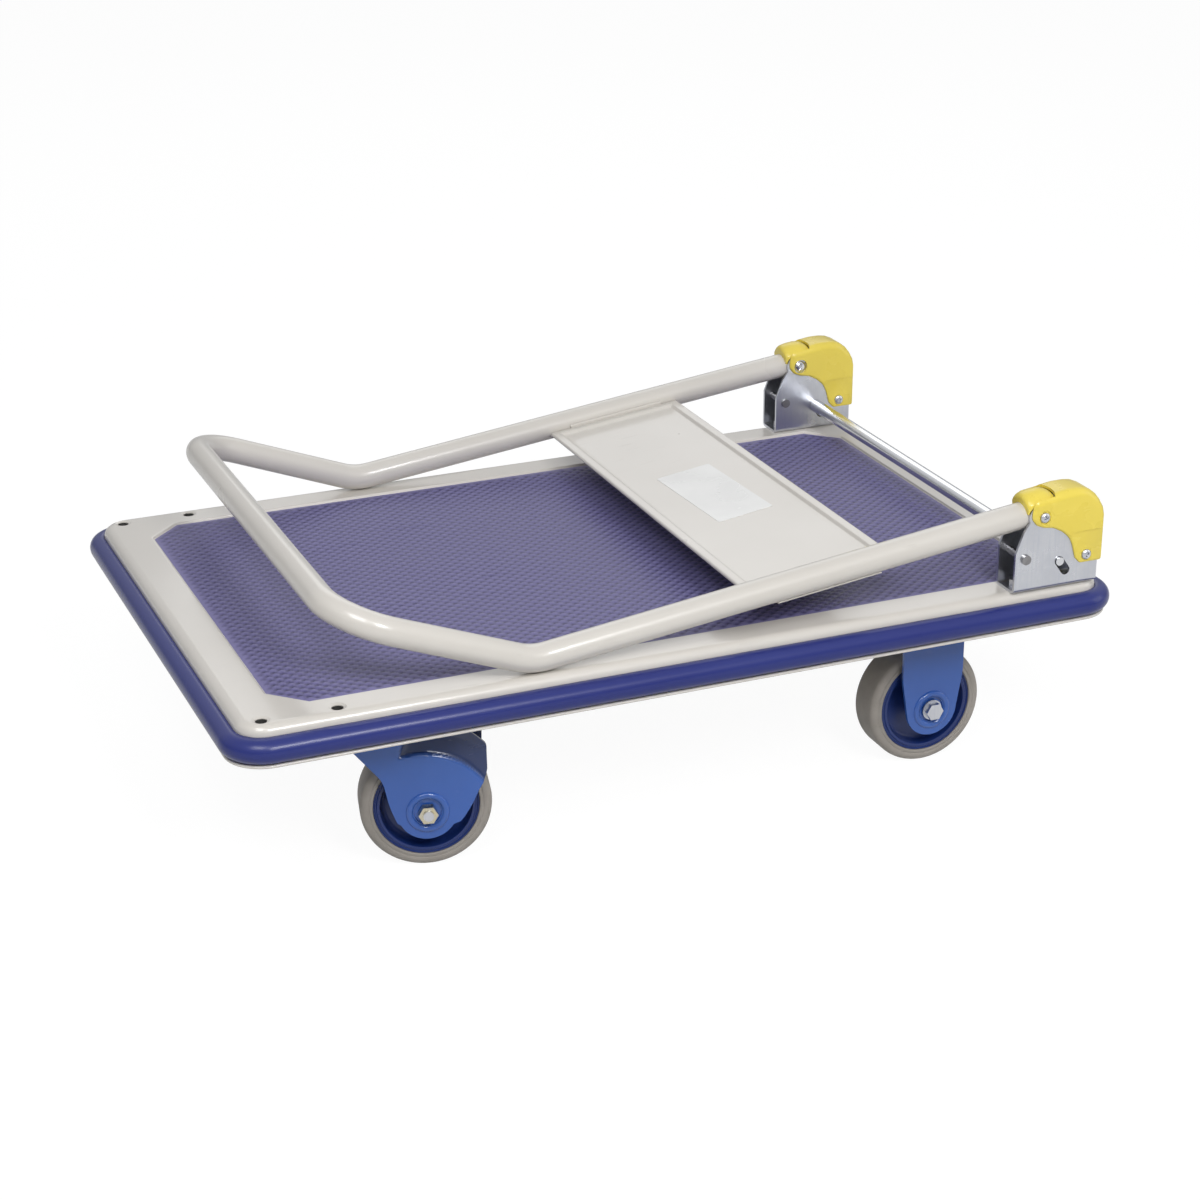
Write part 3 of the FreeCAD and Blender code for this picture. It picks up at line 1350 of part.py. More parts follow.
def make_handle_boot(side):
    """Moulded half shell on the tube's end that fills the mouth of the cover."""
    body = new_body(f"handle_boot_{side}")
    half = COVER_IN - S.boot_side_gap
    low = S.boot_low
    high = S.boot_high
    outline = [
        (-S.boot_front, low),
        (-S.boot_front, high - 5),
        (3 - S.boot_front, high - 2),
        (-3.6, high),
        (3, high),
        (10.2, high - 2.4),
        (S.boot_back, high - 4.9),
        (S.boot_back, low),
    ]
    prism(body, "Pad", "shell", "XZ_Plane", [outline], -half, half)

    # Its top is an arch: what lies outside a circle two millimetres wider than the boot goes.
    arch = half + 2
    loops = [rectangle(REACH, REACH), (0, high - arch, arch)]
    prism(body, "Pocket", "arch", "YZ_Plane", loops, -REACH, REACH)
    bore = [(0, 0, S.tube_radius + S.boot_gap)]
    prism(body, "Pocket", "bore", "YZ_Plane", bore, -REACH, REACH)
    waist = CHEEK_IN - S.boot_cheek_gap
    lobe = [(0, 0, S.bracket_lobe + S.boot_lobe_gap)]
    prism(body, "Pocket", "lobe_a", "XZ_Plane", lobe, waist, half + 1)
    prism(body, "Pocket", "lobe_b", "XZ_Plane", lobe, -half - 1, -waist)
    notch = [rectangle(REACH / 2, REACH / 2, S.boot_notch + REACH / 2, 0)]
    prism(body, "Pocket", "notch_a", "XZ_Plane", notch, waist, half + 1)
    prism(body, "Pocket", "notch_b", "XZ_Plane", notch, -half - 1, -waist)
    place_on_legs(body, HINGE_Y * SIDES[side])


# ---- the whole cart ---------------------------------------------------------------------

make_deck_plate()
make_deck_mat()
make_bumper()
make_cross_rail("cross_rail_front", -FRONT_CASTER_X)
make_cross_rail("cross_rail_rear", REAR_CASTER_X)
make_centre_stiffener()
make_caster_bolts()
make_axles()
make_bracket_fasteners()
make_stop_pins()
make_cover_screws()
make_lock_bar()
make_handle_tube()
make_handle_panel()
make_panel_label()
for side_name in SIDES:
    make_swivel_plate(side_name)
    make_swivel_bearing(side_name)
    make_swivel_fork(side_name)
    make_fixed_fork(side_name)
    make_wheel("front", side_name)
    make_wheel("rear", side_name)
    make_hinge_bracket(side_name)
    make_pivot_pin(side_name)
    make_hinge_cover(side_name)
    make_lock_spring(side_name)
    make_handle_boot(side_name)
doc.recompute()

failed = [item.Name for item in doc.Objects if {"Invalid", "Error"} & set(item.State)]
failed += [item.Label for item in nodes if item.Shape.isNull() or not item.Shape.isValid()]
if failed:
    raise RuntimeError("failed: " + ", ".join(failed))

os.makedirs("parts", exist_ok=True)
for item in nodes:
    item.Shape.exportStep(f"parts/{item.Label}.step")
    print(item.Label, len(item.Shape.Solids), round(item.Shape.Volume, 1))
print(len(nodes), "nodes")
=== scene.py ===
import math

import bmesh
import bpy
import numpy as np
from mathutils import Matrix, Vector


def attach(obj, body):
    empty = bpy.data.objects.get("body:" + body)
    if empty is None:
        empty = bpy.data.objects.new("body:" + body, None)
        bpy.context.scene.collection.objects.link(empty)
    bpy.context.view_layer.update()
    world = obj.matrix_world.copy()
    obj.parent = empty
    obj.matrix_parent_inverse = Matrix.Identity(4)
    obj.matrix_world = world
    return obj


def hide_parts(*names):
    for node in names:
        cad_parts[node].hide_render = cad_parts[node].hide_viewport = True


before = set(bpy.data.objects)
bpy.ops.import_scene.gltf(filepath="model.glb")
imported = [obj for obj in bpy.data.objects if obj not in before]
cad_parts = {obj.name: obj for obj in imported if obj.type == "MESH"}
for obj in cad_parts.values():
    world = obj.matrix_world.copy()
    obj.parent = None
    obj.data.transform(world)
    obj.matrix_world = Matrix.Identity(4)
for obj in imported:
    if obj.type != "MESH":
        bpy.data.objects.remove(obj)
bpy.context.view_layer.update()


# ---- view -------------------------------------------------------------------------------
# The cart is seen from its front left corner and from above, through a long lens, so that
# its parallel edges draw together only a little.
azimuth = math.radians(-23.45)
elevation = math.radians(22.97)
distance = 2.0295
aim = Vector((-0.01467, -0.13383, 0.155))
away = Vector((
    math.sin(azimuth) * math.cos(elevation),
    -math.cos(azimuth) * math.cos(elevation),
    math.sin(elevation),
))
lens = bpy.data.cameras.new("lens")
lens.sensor_width = 36
lens.lens = 77.885
lens.shift_x = -0.03025
lens.shift_y = 0.0079
camera = bpy.data.objects.new("camera", lens)
camera.location = aim + away * distance
camera.rotation_mode = "QUATERNION"
camera.rotation_quaternion = (-away).to_track_quat("-Z", "Y")
bpy.context.scene.collection.objects.link(camera)
bpy.context.scene.camera = camera


# ---- studio -----------------------------------------------------------------------------
# A white sheet on the floor under broad soft lamps. What the eye sees of it is plain white,
# and shiny steel mirrors a room that is white above and greyer round the horizon.
bpy.context.scene.view_settings.view_transform = "Standard"


def link(tree, source, target):
    """Join one output socket to one input socket."""
    tree.links.new(source, target)


def node(tree, kind, **inputs):
    """A new node with some of its inputs set, named with _ where Blender has a space."""
    made = tree.nodes.new(kind)
    for name, value in inputs.items():
        made.inputs[name.replace("_", " ")].default_value = value
    return made


def scaled(tree, value, factor, kind="MULTIPLY"):
    """A math node that takes a socket and a number, and still has a third input free."""
    made = node(tree, "ShaderNodeMath")
    made.operation = kind
    link(tree, value, made.inputs[0])
    made.inputs[1].default_value = factor
    return made


def is_seen(tree, *rays):
    """1 where the ray is one of the named kinds, else 0: the largest of Light Path's outputs."""
    path = tree.nodes.new("ShaderNodeLightPath")
    total = path.outputs[rays[0]]
    for ray in rays[1:]:
        larger = tree.nodes.new("ShaderNodeMath")
        larger.operation = "MAXIMUM"
        link(tree, total, larger.inputs[0])
        link(tree, path.outputs[ray], larger.inputs[1])
        total = larger.outputs[0]
    return total


world = bpy.data.worlds.new("studio")
world.use_nodes = True
bpy.context.scene.world = world
sky = world.node_tree
sky.nodes.clear()
lamp_light = node(sky, "ShaderNodeBackground", Color=(0.97, 0.985, 1, 1), Strength=0.3)
seen = node(sky, "ShaderNodeBackground", Color=(1, 1, 1, 1))
mirrored = node(sky, "ShaderNodeBackground")
heading = node(sky, "ShaderNodeTexCoord")
height_of = node(sky, "ShaderNodeSeparateXYZ")
link(sky, heading.outputs["Generated"], height_of.inputs[0])
room = sky.nodes.new("ShaderNodeValToRGB")
for stop, position, colour in zip(
    room.color_ramp.elements, (0.02, 0.55), ((0.3, 0.31, 0.33, 1), (0.85, 0.85, 0.86, 1)),
):
    stop.position = position
    stop.color = colour
link(sky, height_of.outputs["Z"], room.inputs[0])
link(sky, room.outputs[0], mirrored.inputs["Color"])
shine = sky.nodes.new("ShaderNodeMixShader")
link(sky, is_seen(sky, "Is Glossy Ray", "Is Transmission Ray"), shine.inputs[0])
link(sky, lamp_light.outputs[0], shine.inputs[1])
link(sky, mirrored.outputs[0], shine.inputs[2])
sky_mix = sky.nodes.new("ShaderNodeMixShader")
link(sky, is_seen(sky, "Is Camera Ray"), sky_mix.inputs[0])
link(sky, shine.outputs[0], sky_mix.inputs[1])
link(sky, seen.outputs[0], sky_mix.inputs[2])
sky_out = sky.nodes.new("ShaderNodeOutputWorld")
link(sky, sky_mix.outputs[0], sky_out.inputs[0])

for lamp_name, power, size, spot in (
    ("key", 25, 1.0, (-1.1, -1.4, 2.1)),
    ("front", 28, 0.7, (0.1, -2.1, 1.75)),
    ("back", 7, 1.6, (0.8, 1.9, 1.7)),
    ("side", 6, 1.2, (2.2, -1.0, 0.9)),
):
    lamp = bpy.data.lights.new(lamp_name, "AREA")
    lamp.energy = power
    lamp.size = size
    holder = bpy.data.objects.new(lamp_name, lamp)
    holder.location = spot
    holder.rotation_mode = "QUATERNION"
    holder.rotation_quaternion = (Vector((0, 0, 0.1)) - Vector(spot)).to_track_quat("-Z", "Y")
    bpy.context.scene.collection.objects.link(holder)

floor_mesh = bpy.data.meshes.new("floor")
reach = 14
floor_mesh.from_pydata(
    [(-reach, -reach, 0), (reach, -reach, 0), (reach, reach, 0), (-reach, reach, 0)],
    [],
    [(0, 1, 2, 3)],
)
floor = bpy.data.objects.new("floor", floor_mesh)
bpy.context.scene.collection.objects.link(floor)
sheet = bpy.data.materials.new("white_sheet")
sheet.use_nodes = True
paper = sheet.node_tree
paper.nodes.clear()
matt = node(paper, "ShaderNodeBsdfDiffuse", Color=(0.66, 0.66, 0.66, 1))
glow = node(paper, "ShaderNodeEmission", Strength=1.1)
paper_mix = node(paper, "ShaderNodeMixShader")
mirror_share = scaled(paper, is_seen(paper, "Is Glossy Ray"), 0.5)
share = scaled(paper, is_seen(paper, "Is Camera Ray"), 0.86, "MULTIPLY_ADD")
link(paper, mirror_share.outputs[0], share.inputs[2])
link(paper, share.outputs[0], paper_mix.inputs[0])
link(paper, matt.outputs[0], paper_mix.inputs[1])
link(paper, glow.outputs[0], paper_mix.inputs[2])
paper_out = paper.nodes.new("ShaderNodeOutputMaterial")
link(paper, paper_mix.outputs[0], paper_out.inputs[0])
floor_mesh.materials.append(sheet)


# ---- deck -------------------------------------------------------------------------------
# One sheet of 1.6 mm steel pressed with a shallow recess for the mat, its edges drawn down
# over a soft bend and turned out at the bottom as a hem. Sprayed with cream paint and baked.
WALL = (0.3574, 0.2249)
WALL_CORNER = 0.0219
RECESS = (0.3232, 0.19385)
RECESS_CUT = 0.0252
TOP = 0.155
CORNER_STEPS = 14


def rounded_ring(offset, half=WALL, corner=WALL_CORNER):
    """Rounded rectangle moved out by offset, anticlockwise: a quarter circle of points at
    each corner, at the corner's middle plus the radius times (cos, sin) of the angle."""
    quarter = np.linspace(0, np.pi / 2, CORNER_STEPS + 1)
    angle = (np.arange(4)[:, None] * np.pi / 2 + quarter).ravel()
    side_x = np.repeat([1, -1, -1, 1], CORNER_STEPS + 1)
    side_y = np.repeat([1, 1, -1, -1], CORNER_STEPS + 1)
    radius = corner + offset
    return np.stack([
        side_x * (half[0] - corner) + radius * np.cos(angle),
        side_y * (half[1] - corner) + radius * np.sin(angle),
    ], 1)


def cut_ring(offset, half=RECESS, cut=RECESS_CUT):
    """Rectangle with 45 degree corners moved out by offset, with as many points as
    rounded_ring: each corner's points divide its slanting side evenly."""
    even = np.linspace(0, 1, CORNER_STEPS + 1)
    along = np.concatenate([even, 1 - even, even, 1 - even])
    side_x = np.repeat([1, -1, -1, 1], CORNER_STEPS + 1)
    side_y = np.repeat([1, 1, -1, -1], CORNER_STEPS + 1)
    cut = cut + offset * (2 - math.sqrt(2))
    return np.stack([
        side_x * (half[0] + offset - cut * along),
        side_y * (half[1] + offset - cut * (1 - along)),
    ], 1)


def level(ring, z):
    """The ring's points at height z."""
    return np.column_stack([ring, np.full(len(ring), z)])


def arc(middle, radius, start, end, steps):
    """Points (a, b) of a circle's arc, from the start to the end angle in degrees."""
    angle = np.radians(np.linspace(start, end, steps + 1))
    return np.stack([
        middle[0] + radius * np.cos(angle),
        middle[1] + radius * np.sin(angle),
    ], 1)


def surface(points, round_u=False, round_v=False, caps=False):
    """Vertices and faces of a grid of points: each face joins four neighbours, and caps
    closes the first and the last row with a face each."""
    rows, columns = points.shape[:2]
    number = np.arange(rows * columns).reshape(rows, columns)
    if round_u:
        number = np.vstack([number, number[:1]])
    if round_v:
        number = np.hstack([number, number[:, :1]])
    quads = np.stack([
        number[:-1, :-1], number[:-1, 1:], number[1:, 1:], number[1:, :-1],
    ], -1).reshape(-1, 4)
    faces = quads.tolist()
    if caps:
        faces.append(np.arange(columns)[::-1].tolist())
        faces.append((np.arange(columns) + (rows - 1) * columns).tolist())
    return points.reshape(-1, 3), faces


def solid(rings):
    """Surface of a stack of rings, each closed round, with the first and last one capped."""
    return surface(np.asarray(rings), round_v=True, caps=True)


def shape_of(*surfaces):
    """One editable shape that holds all the surfaces' points and faces."""
    shape = bmesh.new()
    for points, faces in surfaces:
        part = bpy.data.meshes.new("part")
        part.from_pydata(points.tolist(), [], faces)
        shape.from_mesh(part)
        bpy.data.meshes.remove(part)
    return shape


def piece(name, body, finish, *surfaces, sharp=32, merge=False, replaces=(), slot=None):
    """One object from some surfaces: smooth but for edges sharper than an angle in degrees,
    with the finish, riding on the body and standing for the replaced nodes."""
    mesh = bpy.data.meshes.new(name)
    shape = shape_of(*surfaces)
    if merge:
        bmesh.ops.remove_doubles(shape, verts=shape.verts, dist=1e-6)
        bmesh.ops.recalc_face_normals(shape, faces=shape.faces)
    shape.to_mesh(mesh)
    shape.free()
    mesh.shade_smooth()
    mesh.set_sharp_from_angle(angle=math.radians(sharp))
    item = bpy.data.objects.new(name, mesh)
    bpy.context.scene.collection.objects.link(item)
    mesh.materials.append(finish)
    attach(item, body)
    if replaces:
        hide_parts(*replaces)
    return item


def drill(item, *cutters, sharp=32):
    """Take closed surfaces out of the item, one after the other, and keep what is left."""
    tools = []
    for cutter in cutters:
        mesh = bpy.data.meshes.new("cutter")
        shape = shape_of(cutter)
        bmesh.ops.recalc_face_normals(shape, faces=shape.faces)
        shape.to_mesh(mesh)
        shape.free()
        tool = bpy.data.objects.new("cutter", mesh)
        bpy.context.scene.collection.objects.link(tool)
        cut = item.modifiers.new("cut", "BOOLEAN")
        cut.operation = "DIFFERENCE"
        cut.solver = "EXACT"
        cut.object = tool
        tools.append(tool)
    ready = item.evaluated_get(bpy.context.evaluated_depsgraph_get())
    result = bpy.data.meshes.new_from_object(ready)
    item.modifiers.clear()
    item.data = result
    for tool in tools:
        bpy.data.objects.remove(tool)
    result.set_sharp_from_angle(angle=math.radians(sharp))
    return item


def join_on(item, *surfaces, sharp=40, finish_slot=0):
    """Add closed surfaces to the item's own mesh, as raised details."""
    added = shape_of(*surfaces)
    bmesh.ops.recalc_face_normals(added, faces=added.faces)
    details = bpy.data.meshes.new("details")
    added.to_mesh(details)
    added.free()
    details.shade_smooth()
    slots = np.full(len(details.polygons), finish_slot, np.int32)
    details.polygons.foreach_set("material_index", slots)
    shape = bmesh.new()
    shape.from_mesh(item.data)
    shape.from_mesh(details)
    shape.to_mesh(item.data)
    shape.free()
    bpy.data.meshes.remove(details)
    item.data.set_sharp_from_angle(angle=math.radians(sharp))


def group(name, inputs, outputs):
    """A node group with float, vector or colour sockets, and its two end nodes."""
    tree = bpy.data.node_groups.new(name, "ShaderNodeTree")
    for socket, kind, value in inputs:
        made = tree.interface.new_socket(socket, in_out="INPUT", socket_type=kind)
        if value is not None:
            made.default_value = value
    for socket, kind in outputs:
        tree.interface.new_socket(socket, in_out="OUTPUT", socket_type=kind)
    return tree, tree.nodes.new("NodeGroupInput"), tree.nodes.new("NodeGroupOutput")


def noise(tree, vector, scale, detail, roughness=0.5):
    """A noise texture on the vector; scale is a number or a socket."""
    cloud = node(tree, "ShaderNodeTexNoise", Detail=detail, Roughness=roughness)
    link(tree, vector, cloud.inputs["Vector"])
    if isinstance(scale, (int, float)):
        cloud.inputs["Scale"].default_value = scale
    else:
        link(tree, scale, cloud.inputs["Scale"])
    return cloud.outputs["Fac"]


def span(tree, value, low, high, to_low=0.0, to_high=1.0):
    """The value's range from low to high spread over another range, held at both ends."""
    ranged = tree.nodes.new("ShaderNodeMapRange")
    link(tree, value, ranged.inputs["Value"])
    for socket, number in (("From Min", low), ("From Max", high), ("To Min", to_low), ("To Max", to_high)):
        if isinstance(number, (int, float)):
            ranged.inputs[socket].default_value = number
        else:
            link(tree, number, ranged.inputs[socket])
    return ranged.outputs["Result"]


def combine(tree, kind, a, b):
    """Two values, sockets or numbers, added, multiplied and so on."""
    made = tree.nodes.new("ShaderNodeMath")
    made.operation = kind
    for socket, value in zip(made.inputs, (a, b)):
        if isinstance(value, (int, float)):
            socket.default_value = value
        else:
            link(tree, value, socket)
    return made.outputs[0]


def tint(tree, mask, first, second):
    """Colour that goes from the first to the second as the mask goes from 0 to 1."""
    mixed = tree.nodes.new("ShaderNodeMix")
    mixed.data_type = "RGBA"
    link(tree, mask, mixed.inputs["Factor"])
    for socket, colour in (("A", first), ("B", second)):
        place = next(s for s in mixed.inputs if s.name == socket and s.type == "RGBA")
        if isinstance(colour, tuple):
            place.default_value = (*colour, 1)
        else:
            link(tree, colour, place)
    return next(s for s in mixed.outputs if s.type == "RGBA")


# Slow uneven tone, fine orange peel, and thin scuffs: effects that most finishes share.
uneven, uneven_in, uneven_out = group(
    "uneven_tone",
    [("Vector", "NodeSocketVector", None), ("Scale", "NodeSocketFloat", 6.0)],
    [("Mask", "NodeSocketFloat")],
)
link(
    uneven,
    span(uneven, noise(uneven, uneven_in.outputs["Vector"], uneven_in.outputs["Scale"], 4), 0.34, 0.66),
    uneven_out.inputs["Mask"],
)
peel, peel_in, peel_out = group(
    "fine_grain",
    [("Vector", "NodeSocketVector", None), ("Scale", "NodeSocketFloat", 700.0)],
    [("Height", "NodeSocketFloat")],
)
link(peel, noise(peel, peel_in.outputs["Vector"], peel_in.outputs["Scale"], 2), peel_out.inputs["Height"])
scuff, scuff_in, scuff_out = group(
    "scuffs",
    [
        ("Vector", "NodeSocketVector", None),
        ("Scale", "NodeSocketFloat", 30.0),
        ("Amount", "NodeSocketFloat", 0.5),
    ],
    [("Mask", "NodeSocketFloat")],
)
drawn = scuff.nodes.new("ShaderNodeMapping")
drawn.inputs["Rotation"].default_value = (0.3, 0.2, 0.5)
drawn.inputs["Scale"].default_value = (1, 9, 4)
link(scuff, scuff_in.outputs["Vector"], drawn.inputs["Vector"])
lines = span(scuff, noise(scuff, drawn.outputs[0], scuff_in.outputs["Scale"], 3, 0.6), 0.62, 0.7)
patches = span(scuff, noise(scuff, scuff_in.outputs["Vector"], 9.0, 2), 0.45, 0.65)
link(
    scuff,
    combine(scuff, "MULTIPLY", combine(scuff, "MULTIPLY", lines, patches), scuff_in.outputs["Amount"]),
    scuff_out.inputs["Mask"],
)


def finish(
    name, tone, other, rough, rough_other, cloud=7.0, grain=700.0, grain_depth=3e-5,
    scuffs=(30.0, 0.3), scuff_tone=None, metallic=0.0, coat=0.0, coat_rough=0.12, specular=0.5,
    extra=None,
):
    """A finish whose colour and roughness drift between two values, with scuffs and a fine
    grain. extra(tree, vector) may give a mask, a colour for it and more height in metres."""
    made = bpy.data.materials.new(name)
    made.use_nodes = True
    tree = made.node_tree
    tree.nodes.clear()
    shader = tree.nodes.new("ShaderNodeBsdfPrincipled")
    shader.inputs["Metallic"].default_value = metallic
    shader.inputs["Specular IOR Level"].default_value = specular
    shader.inputs["Coat Weight"].default_value = coat
    shader.inputs["Coat Roughness"].default_value = coat_rough
    place = tree.nodes.new("ShaderNodeTexCoord").outputs["Object"]

    def effect(source, **values):
        used = tree.nodes.new("ShaderNodeGroup")
        used.node_tree = source
        link(tree, place, used.inputs["Vector"])
        for socket, value in values.items():
            used.inputs[socket].default_value = value
        return used.outputs[0]

    drift = effect(uneven, Scale=cloud)
    marks = effect(scuff, Scale=scuffs[0], Amount=scuffs[1])
    colour = tint(tree, drift, tone, other)
    colour = tint(tree, marks, colour, scuff_tone or other)
    roughness = span(tree, drift, 0.0, 1.0, rough, rough_other)
    roughness = combine(tree, "ADD", roughness, combine(tree, "MULTIPLY", marks, 0.18))
    height = combine(tree, "MULTIPLY", effect(peel, Scale=grain), grain_depth)
    if extra:
        mask, mask_tone, more = extra(tree, place)
        if mask is not None:
            colour = tint(tree, mask, colour, mask_tone)
        if more is not None:
            height = combine(tree, "ADD", height, more)
    bump = tree.nodes.new("ShaderNodeBump")
    bump.inputs["Strength"].default_value = 1.0
    bump.inputs["Distance"].default_value = 1.0
    link(tree, height, bump.inputs["Height"])
    link(tree, colour, shader.inputs["Base Color"])
    link(tree, roughness, shader.inputs["Roughness"])
    link(tree, bump.outputs[0], shader.inputs["Normal"])
    end = tree.nodes.new("ShaderNodeOutputMaterial")
    link(tree, shader.outputs[0], end.inputs[0])
    return made


def coat_node(finish_made, *names):
    """Give the CAD nodes a finish."""
    for name in names:
        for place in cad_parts[name].material_slots:
            place.material = finish_made


cream = finish(
    "cream_enamel", (0.645, 0.615, 0.57), (0.61, 0.58, 0.535), 0.26, 0.36,
    cloud=5.0, grain=420.0, grain_depth=2.5e-5, scuffs=(26.0, 0.3),
    scuff_tone=(0.52, 0.49, 0.45), coat=0.55,
)

BEND = 0.008
SHEET = 0.0016
outer_bend = arc((-BEND, TOP - BEND), BEND, 90, 0, 8)
inner_bend = arc((-BEND, TOP - BEND), BEND - SHEET, 0, 90, 8)
lip = arc((0.0022, 0.1535), 0.0015, 180, 90, 6)
rings = [level(cut_ring(0.0), 0.153), level(cut_ring(0.0004), 0.1536)]
rings += [level(cut_ring(a), b) for a, b in lip]
rings += [level(cut_ring(0.0028), TOP), level(rounded_ring(-BEND - 0.0006), TOP)]
rings += [level(rounded_ring(a), b) for a, b in outer_bend]
rings += [level(rounded_ring(a), b) for a, b in arc((0.0015, 0.1295), 0.0015, 180, 270, 6)]
rings += [level(rounded_ring(a), b) for a, b in arc((0.0074, 0.1268), 0.0012, 90, -90, 12)]
rings += [level(rounded_ring(a), b) for a, b in arc((0.0, 0.1272), 0.0016, 270, 180, 6)]
rings += [level(rounded_ring(a), b) for a, b in inner_bend]
rings += [level(cut_ring(0.0026), 0.1534), level(cut_ring(0.0016), 0.1514)]
deck = piece("deck_pressing", "base", cream, solid(rings), sharp=18, merge=True)
# Near-black finish for the collars under the holes: painted shade, standing for the dark seen through the
# holes.
collar_shade = finish(
    "collar_painted_shade", (0.05, 0.048, 0.046), (0.035, 0.034, 0.033), 0.5, 0.6,
    cloud=60.0, grain=900.0, grain_depth=2e-5, scuffs=(80.0, 0.3), scuff_tone=(0.09, 0.085, 0.08),
)
deck.data.materials.append(collar_shade)


def turned(profile, middle, axis, steps=32):
    """A profile of (radius, height) pairs turned about an axis: grid points are the middle
    plus height along the axis plus radius times (cos, sin) in the plane across it."""
    axis = np.array(axis, float) / np.linalg.norm(axis)
    side = np.cross(axis, (0.0, 0.0, 1.0) if abs(axis[2]) < 0.9 else (1.0, 0.0, 0.0))
    side /= np.linalg.norm(side)
    up = np.cross(axis, side)
    angle = np.linspace(0, 2 * np.pi, steps, endpoint=False)
    profile = np.array(profile, float)
    spoke = np.cos(angle)[:, None] * side + np.sin(angle)[:, None] * up
    return (
        np.array(middle, float)
        + profile[:, None, 1:2] * axis
        + profile[:, None, 0:1] * spoke[None]
    )


HOLE_X = (-0.3393, -0.2827, 0.2827, 0.3393)
HOLE_Y = 0.212
hole_profile = [(0.0045, -0.006), (0.0045, -0.0009), (0.0068, 0.0), (0.0068, 0.002)]
drill(deck, *[
    solid(turned(hole_profile, (x, y, TOP), (0, 0, 1)))
    for x in HOLE_X
    for y in (-HOLE_Y, HOLE_Y)
], sharp=18)
collar = [(0.0044, -0.0057), (0.0056, -0.0057), (0.0062, -0.0016), (0.0058, -0.0012), (0.00455, -0.0012)]
# The collars under the front holes take the second finish, which is painted shade.
join_on(deck, *[
    surface(turned(collar, (x, y, TOP), (0, 0, 1)), round_u=True, round_v=True)
    for x in HOLE_X[:2]
    for y in (-HOLE_Y, HOLE_Y)
], sharp=18, finish_slot=1)
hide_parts("deck_plate")


# ---- mat --------------------------------------------------------------------------------
# A sheet of violet blue vinyl glued into the recess, with low rounded diamonds moulded all
# over its top so that cartons don't slide. Its edge is a plain strip.
MAT_GAP = 0.0004
MAT_LOW = 0.153
MAT_TOP = 0.1545
DIAMOND = (0.0116, 0.0084)
DIAMOND_RISE = 0.0013
PLAIN_STRIP = 0.003


def shade_between_diamonds(tree, place):
    """Painted shade between the diamonds, from the mesh's own low_places values."""
    low = tree.nodes.new("ShaderNodeAttribute")
    low.attribute_name = "low_places"
    return combine(tree, "MULTIPLY", low.outputs["Fac"], 0.95), (0.014, 0.012, 0.055), None


violet = finish(
    "mat_vinyl", (0.165, 0.152, 0.325), (0.19, 0.176, 0.355), 0.4, 0.5,
    cloud=9.0, grain=1500.0, grain_depth=2e-5, scuffs=(18.0, 0.55),
    scuff_tone=(0.14, 0.13, 0.28), specular=0.35, extra=shade_between_diamonds,
)
half_x = RECESS[0] - MAT_GAP
half_y = RECESS[1] - MAT_GAP
down_y = np.arange(-half_y, half_y, DIAMOND[1] / 6)
down_y = np.concatenate([[-half_y], down_y, [half_y, half_y]])
across = np.concatenate([[0], np.linspace(0, 1, int(2 * half_x / (DIAMOND[0] / 6))), [1]])
reach_x = half_x - np.clip(RECESS_CUT - (half_y - np.abs(down_y)), 0, None)
grid_x = reach_x[:, None] * (2 * across - 1)[None]
grid_y = np.repeat(down_y[:, None], len(across), 1)
groove_a = np.sin(np.pi * (grid_x / DIAMOND[0] + grid_y / DIAMOND[1])) ** 4
groove_b = np.sin(np.pi * (grid_x / DIAMOND[0] - grid_y / DIAMOND[1])) ** 4
to_edge = np.minimum(reach_x[:, None] - np.abs(grid_x), half_y - np.abs(grid_y))
fade = np.clip((to_edge - PLAIN_STRIP) / 0.002, 0, 1)
grid_z = MAT_TOP - DIAMOND_RISE * (1 - fade * (1 - np.maximum(groove_a, groove_b)))
grid_z[[0, -1], :] = MAT_LOW
grid_z[:, [0, -1]] = MAT_LOW
mat_top = surface(np.stack([grid_x, grid_y, grid_z], -1))
number = np.arange(grid_x.size).reshape(grid_x.shape)
border = np.concatenate([number[0], number[1:, -1], number[-1, -2::-1], number[-2:0:-1, 0]])
mat_top[1].append(border[::-1].tolist())
mat = piece(
    "deck_mat_vinyl", "base", violet, mat_top, sharp=60, replaces=["deck_mat"], slot="mat_rubber",
)
# How far down between the diamonds each point lies; the mat's finish darkens these places as painted shade.
dips = (fade * (0.3 * np.maximum(groove_a, groove_b) + 0.7 * np.sqrt(groove_a * groove_b))).ravel()
low_places = mat.data.attributes.new("low_places", "FLOAT", "POINT")
low_places.data.foreach_set("value", dips.astype(np.float32))


# ---- bumper -----------------------------------------------------------------------------
# An endless strip of glossy navy vinyl with a D-shaped section, pulled over the deck's wall
# and sitting on its hem.
navy = finish(
    "bumper_vinyl", (0.016, 0.024, 0.16), (0.019, 0.029, 0.175), 0.27, 0.33,
    cloud=5.0, grain=300.0, grain_depth=1e-5, scuffs=(40.0, 0.25),
    scuff_tone=(0.03, 0.04, 0.17), coat=0.15, coat_rough=0.15, specular=0.32,
)
STRIP_LOW = 0.128
STRIP_HIGH = 0.147
STRIP_OUT = 0.0126
STRIP_ROUND = 0.0093
strip = [(0.0001, STRIP_LOW + 0.0004), (0.0005, STRIP_LOW)]
strip += arc((STRIP_OUT - STRIP_ROUND, STRIP_LOW + STRIP_ROUND), STRIP_ROUND, -90, 0, 10).tolist()
strip += arc((STRIP_OUT - STRIP_ROUND, STRIP_HIGH - STRIP_ROUND), STRIP_ROUND, 0, 90, 10).tolist()
strip += [(0.0005, STRIP_HIGH), (0.0001, STRIP_HIGH - 0.0004)]
strip_rings = np.array([level(rounded_ring(a), b) for a, b in strip])
piece(
    "bumper_strip", "base", navy, surface(strip_rings, round_u=True, round_v=True),
    merge=True, sharp=50, replaces=["bumper"], slot="bumper_rubber",
)


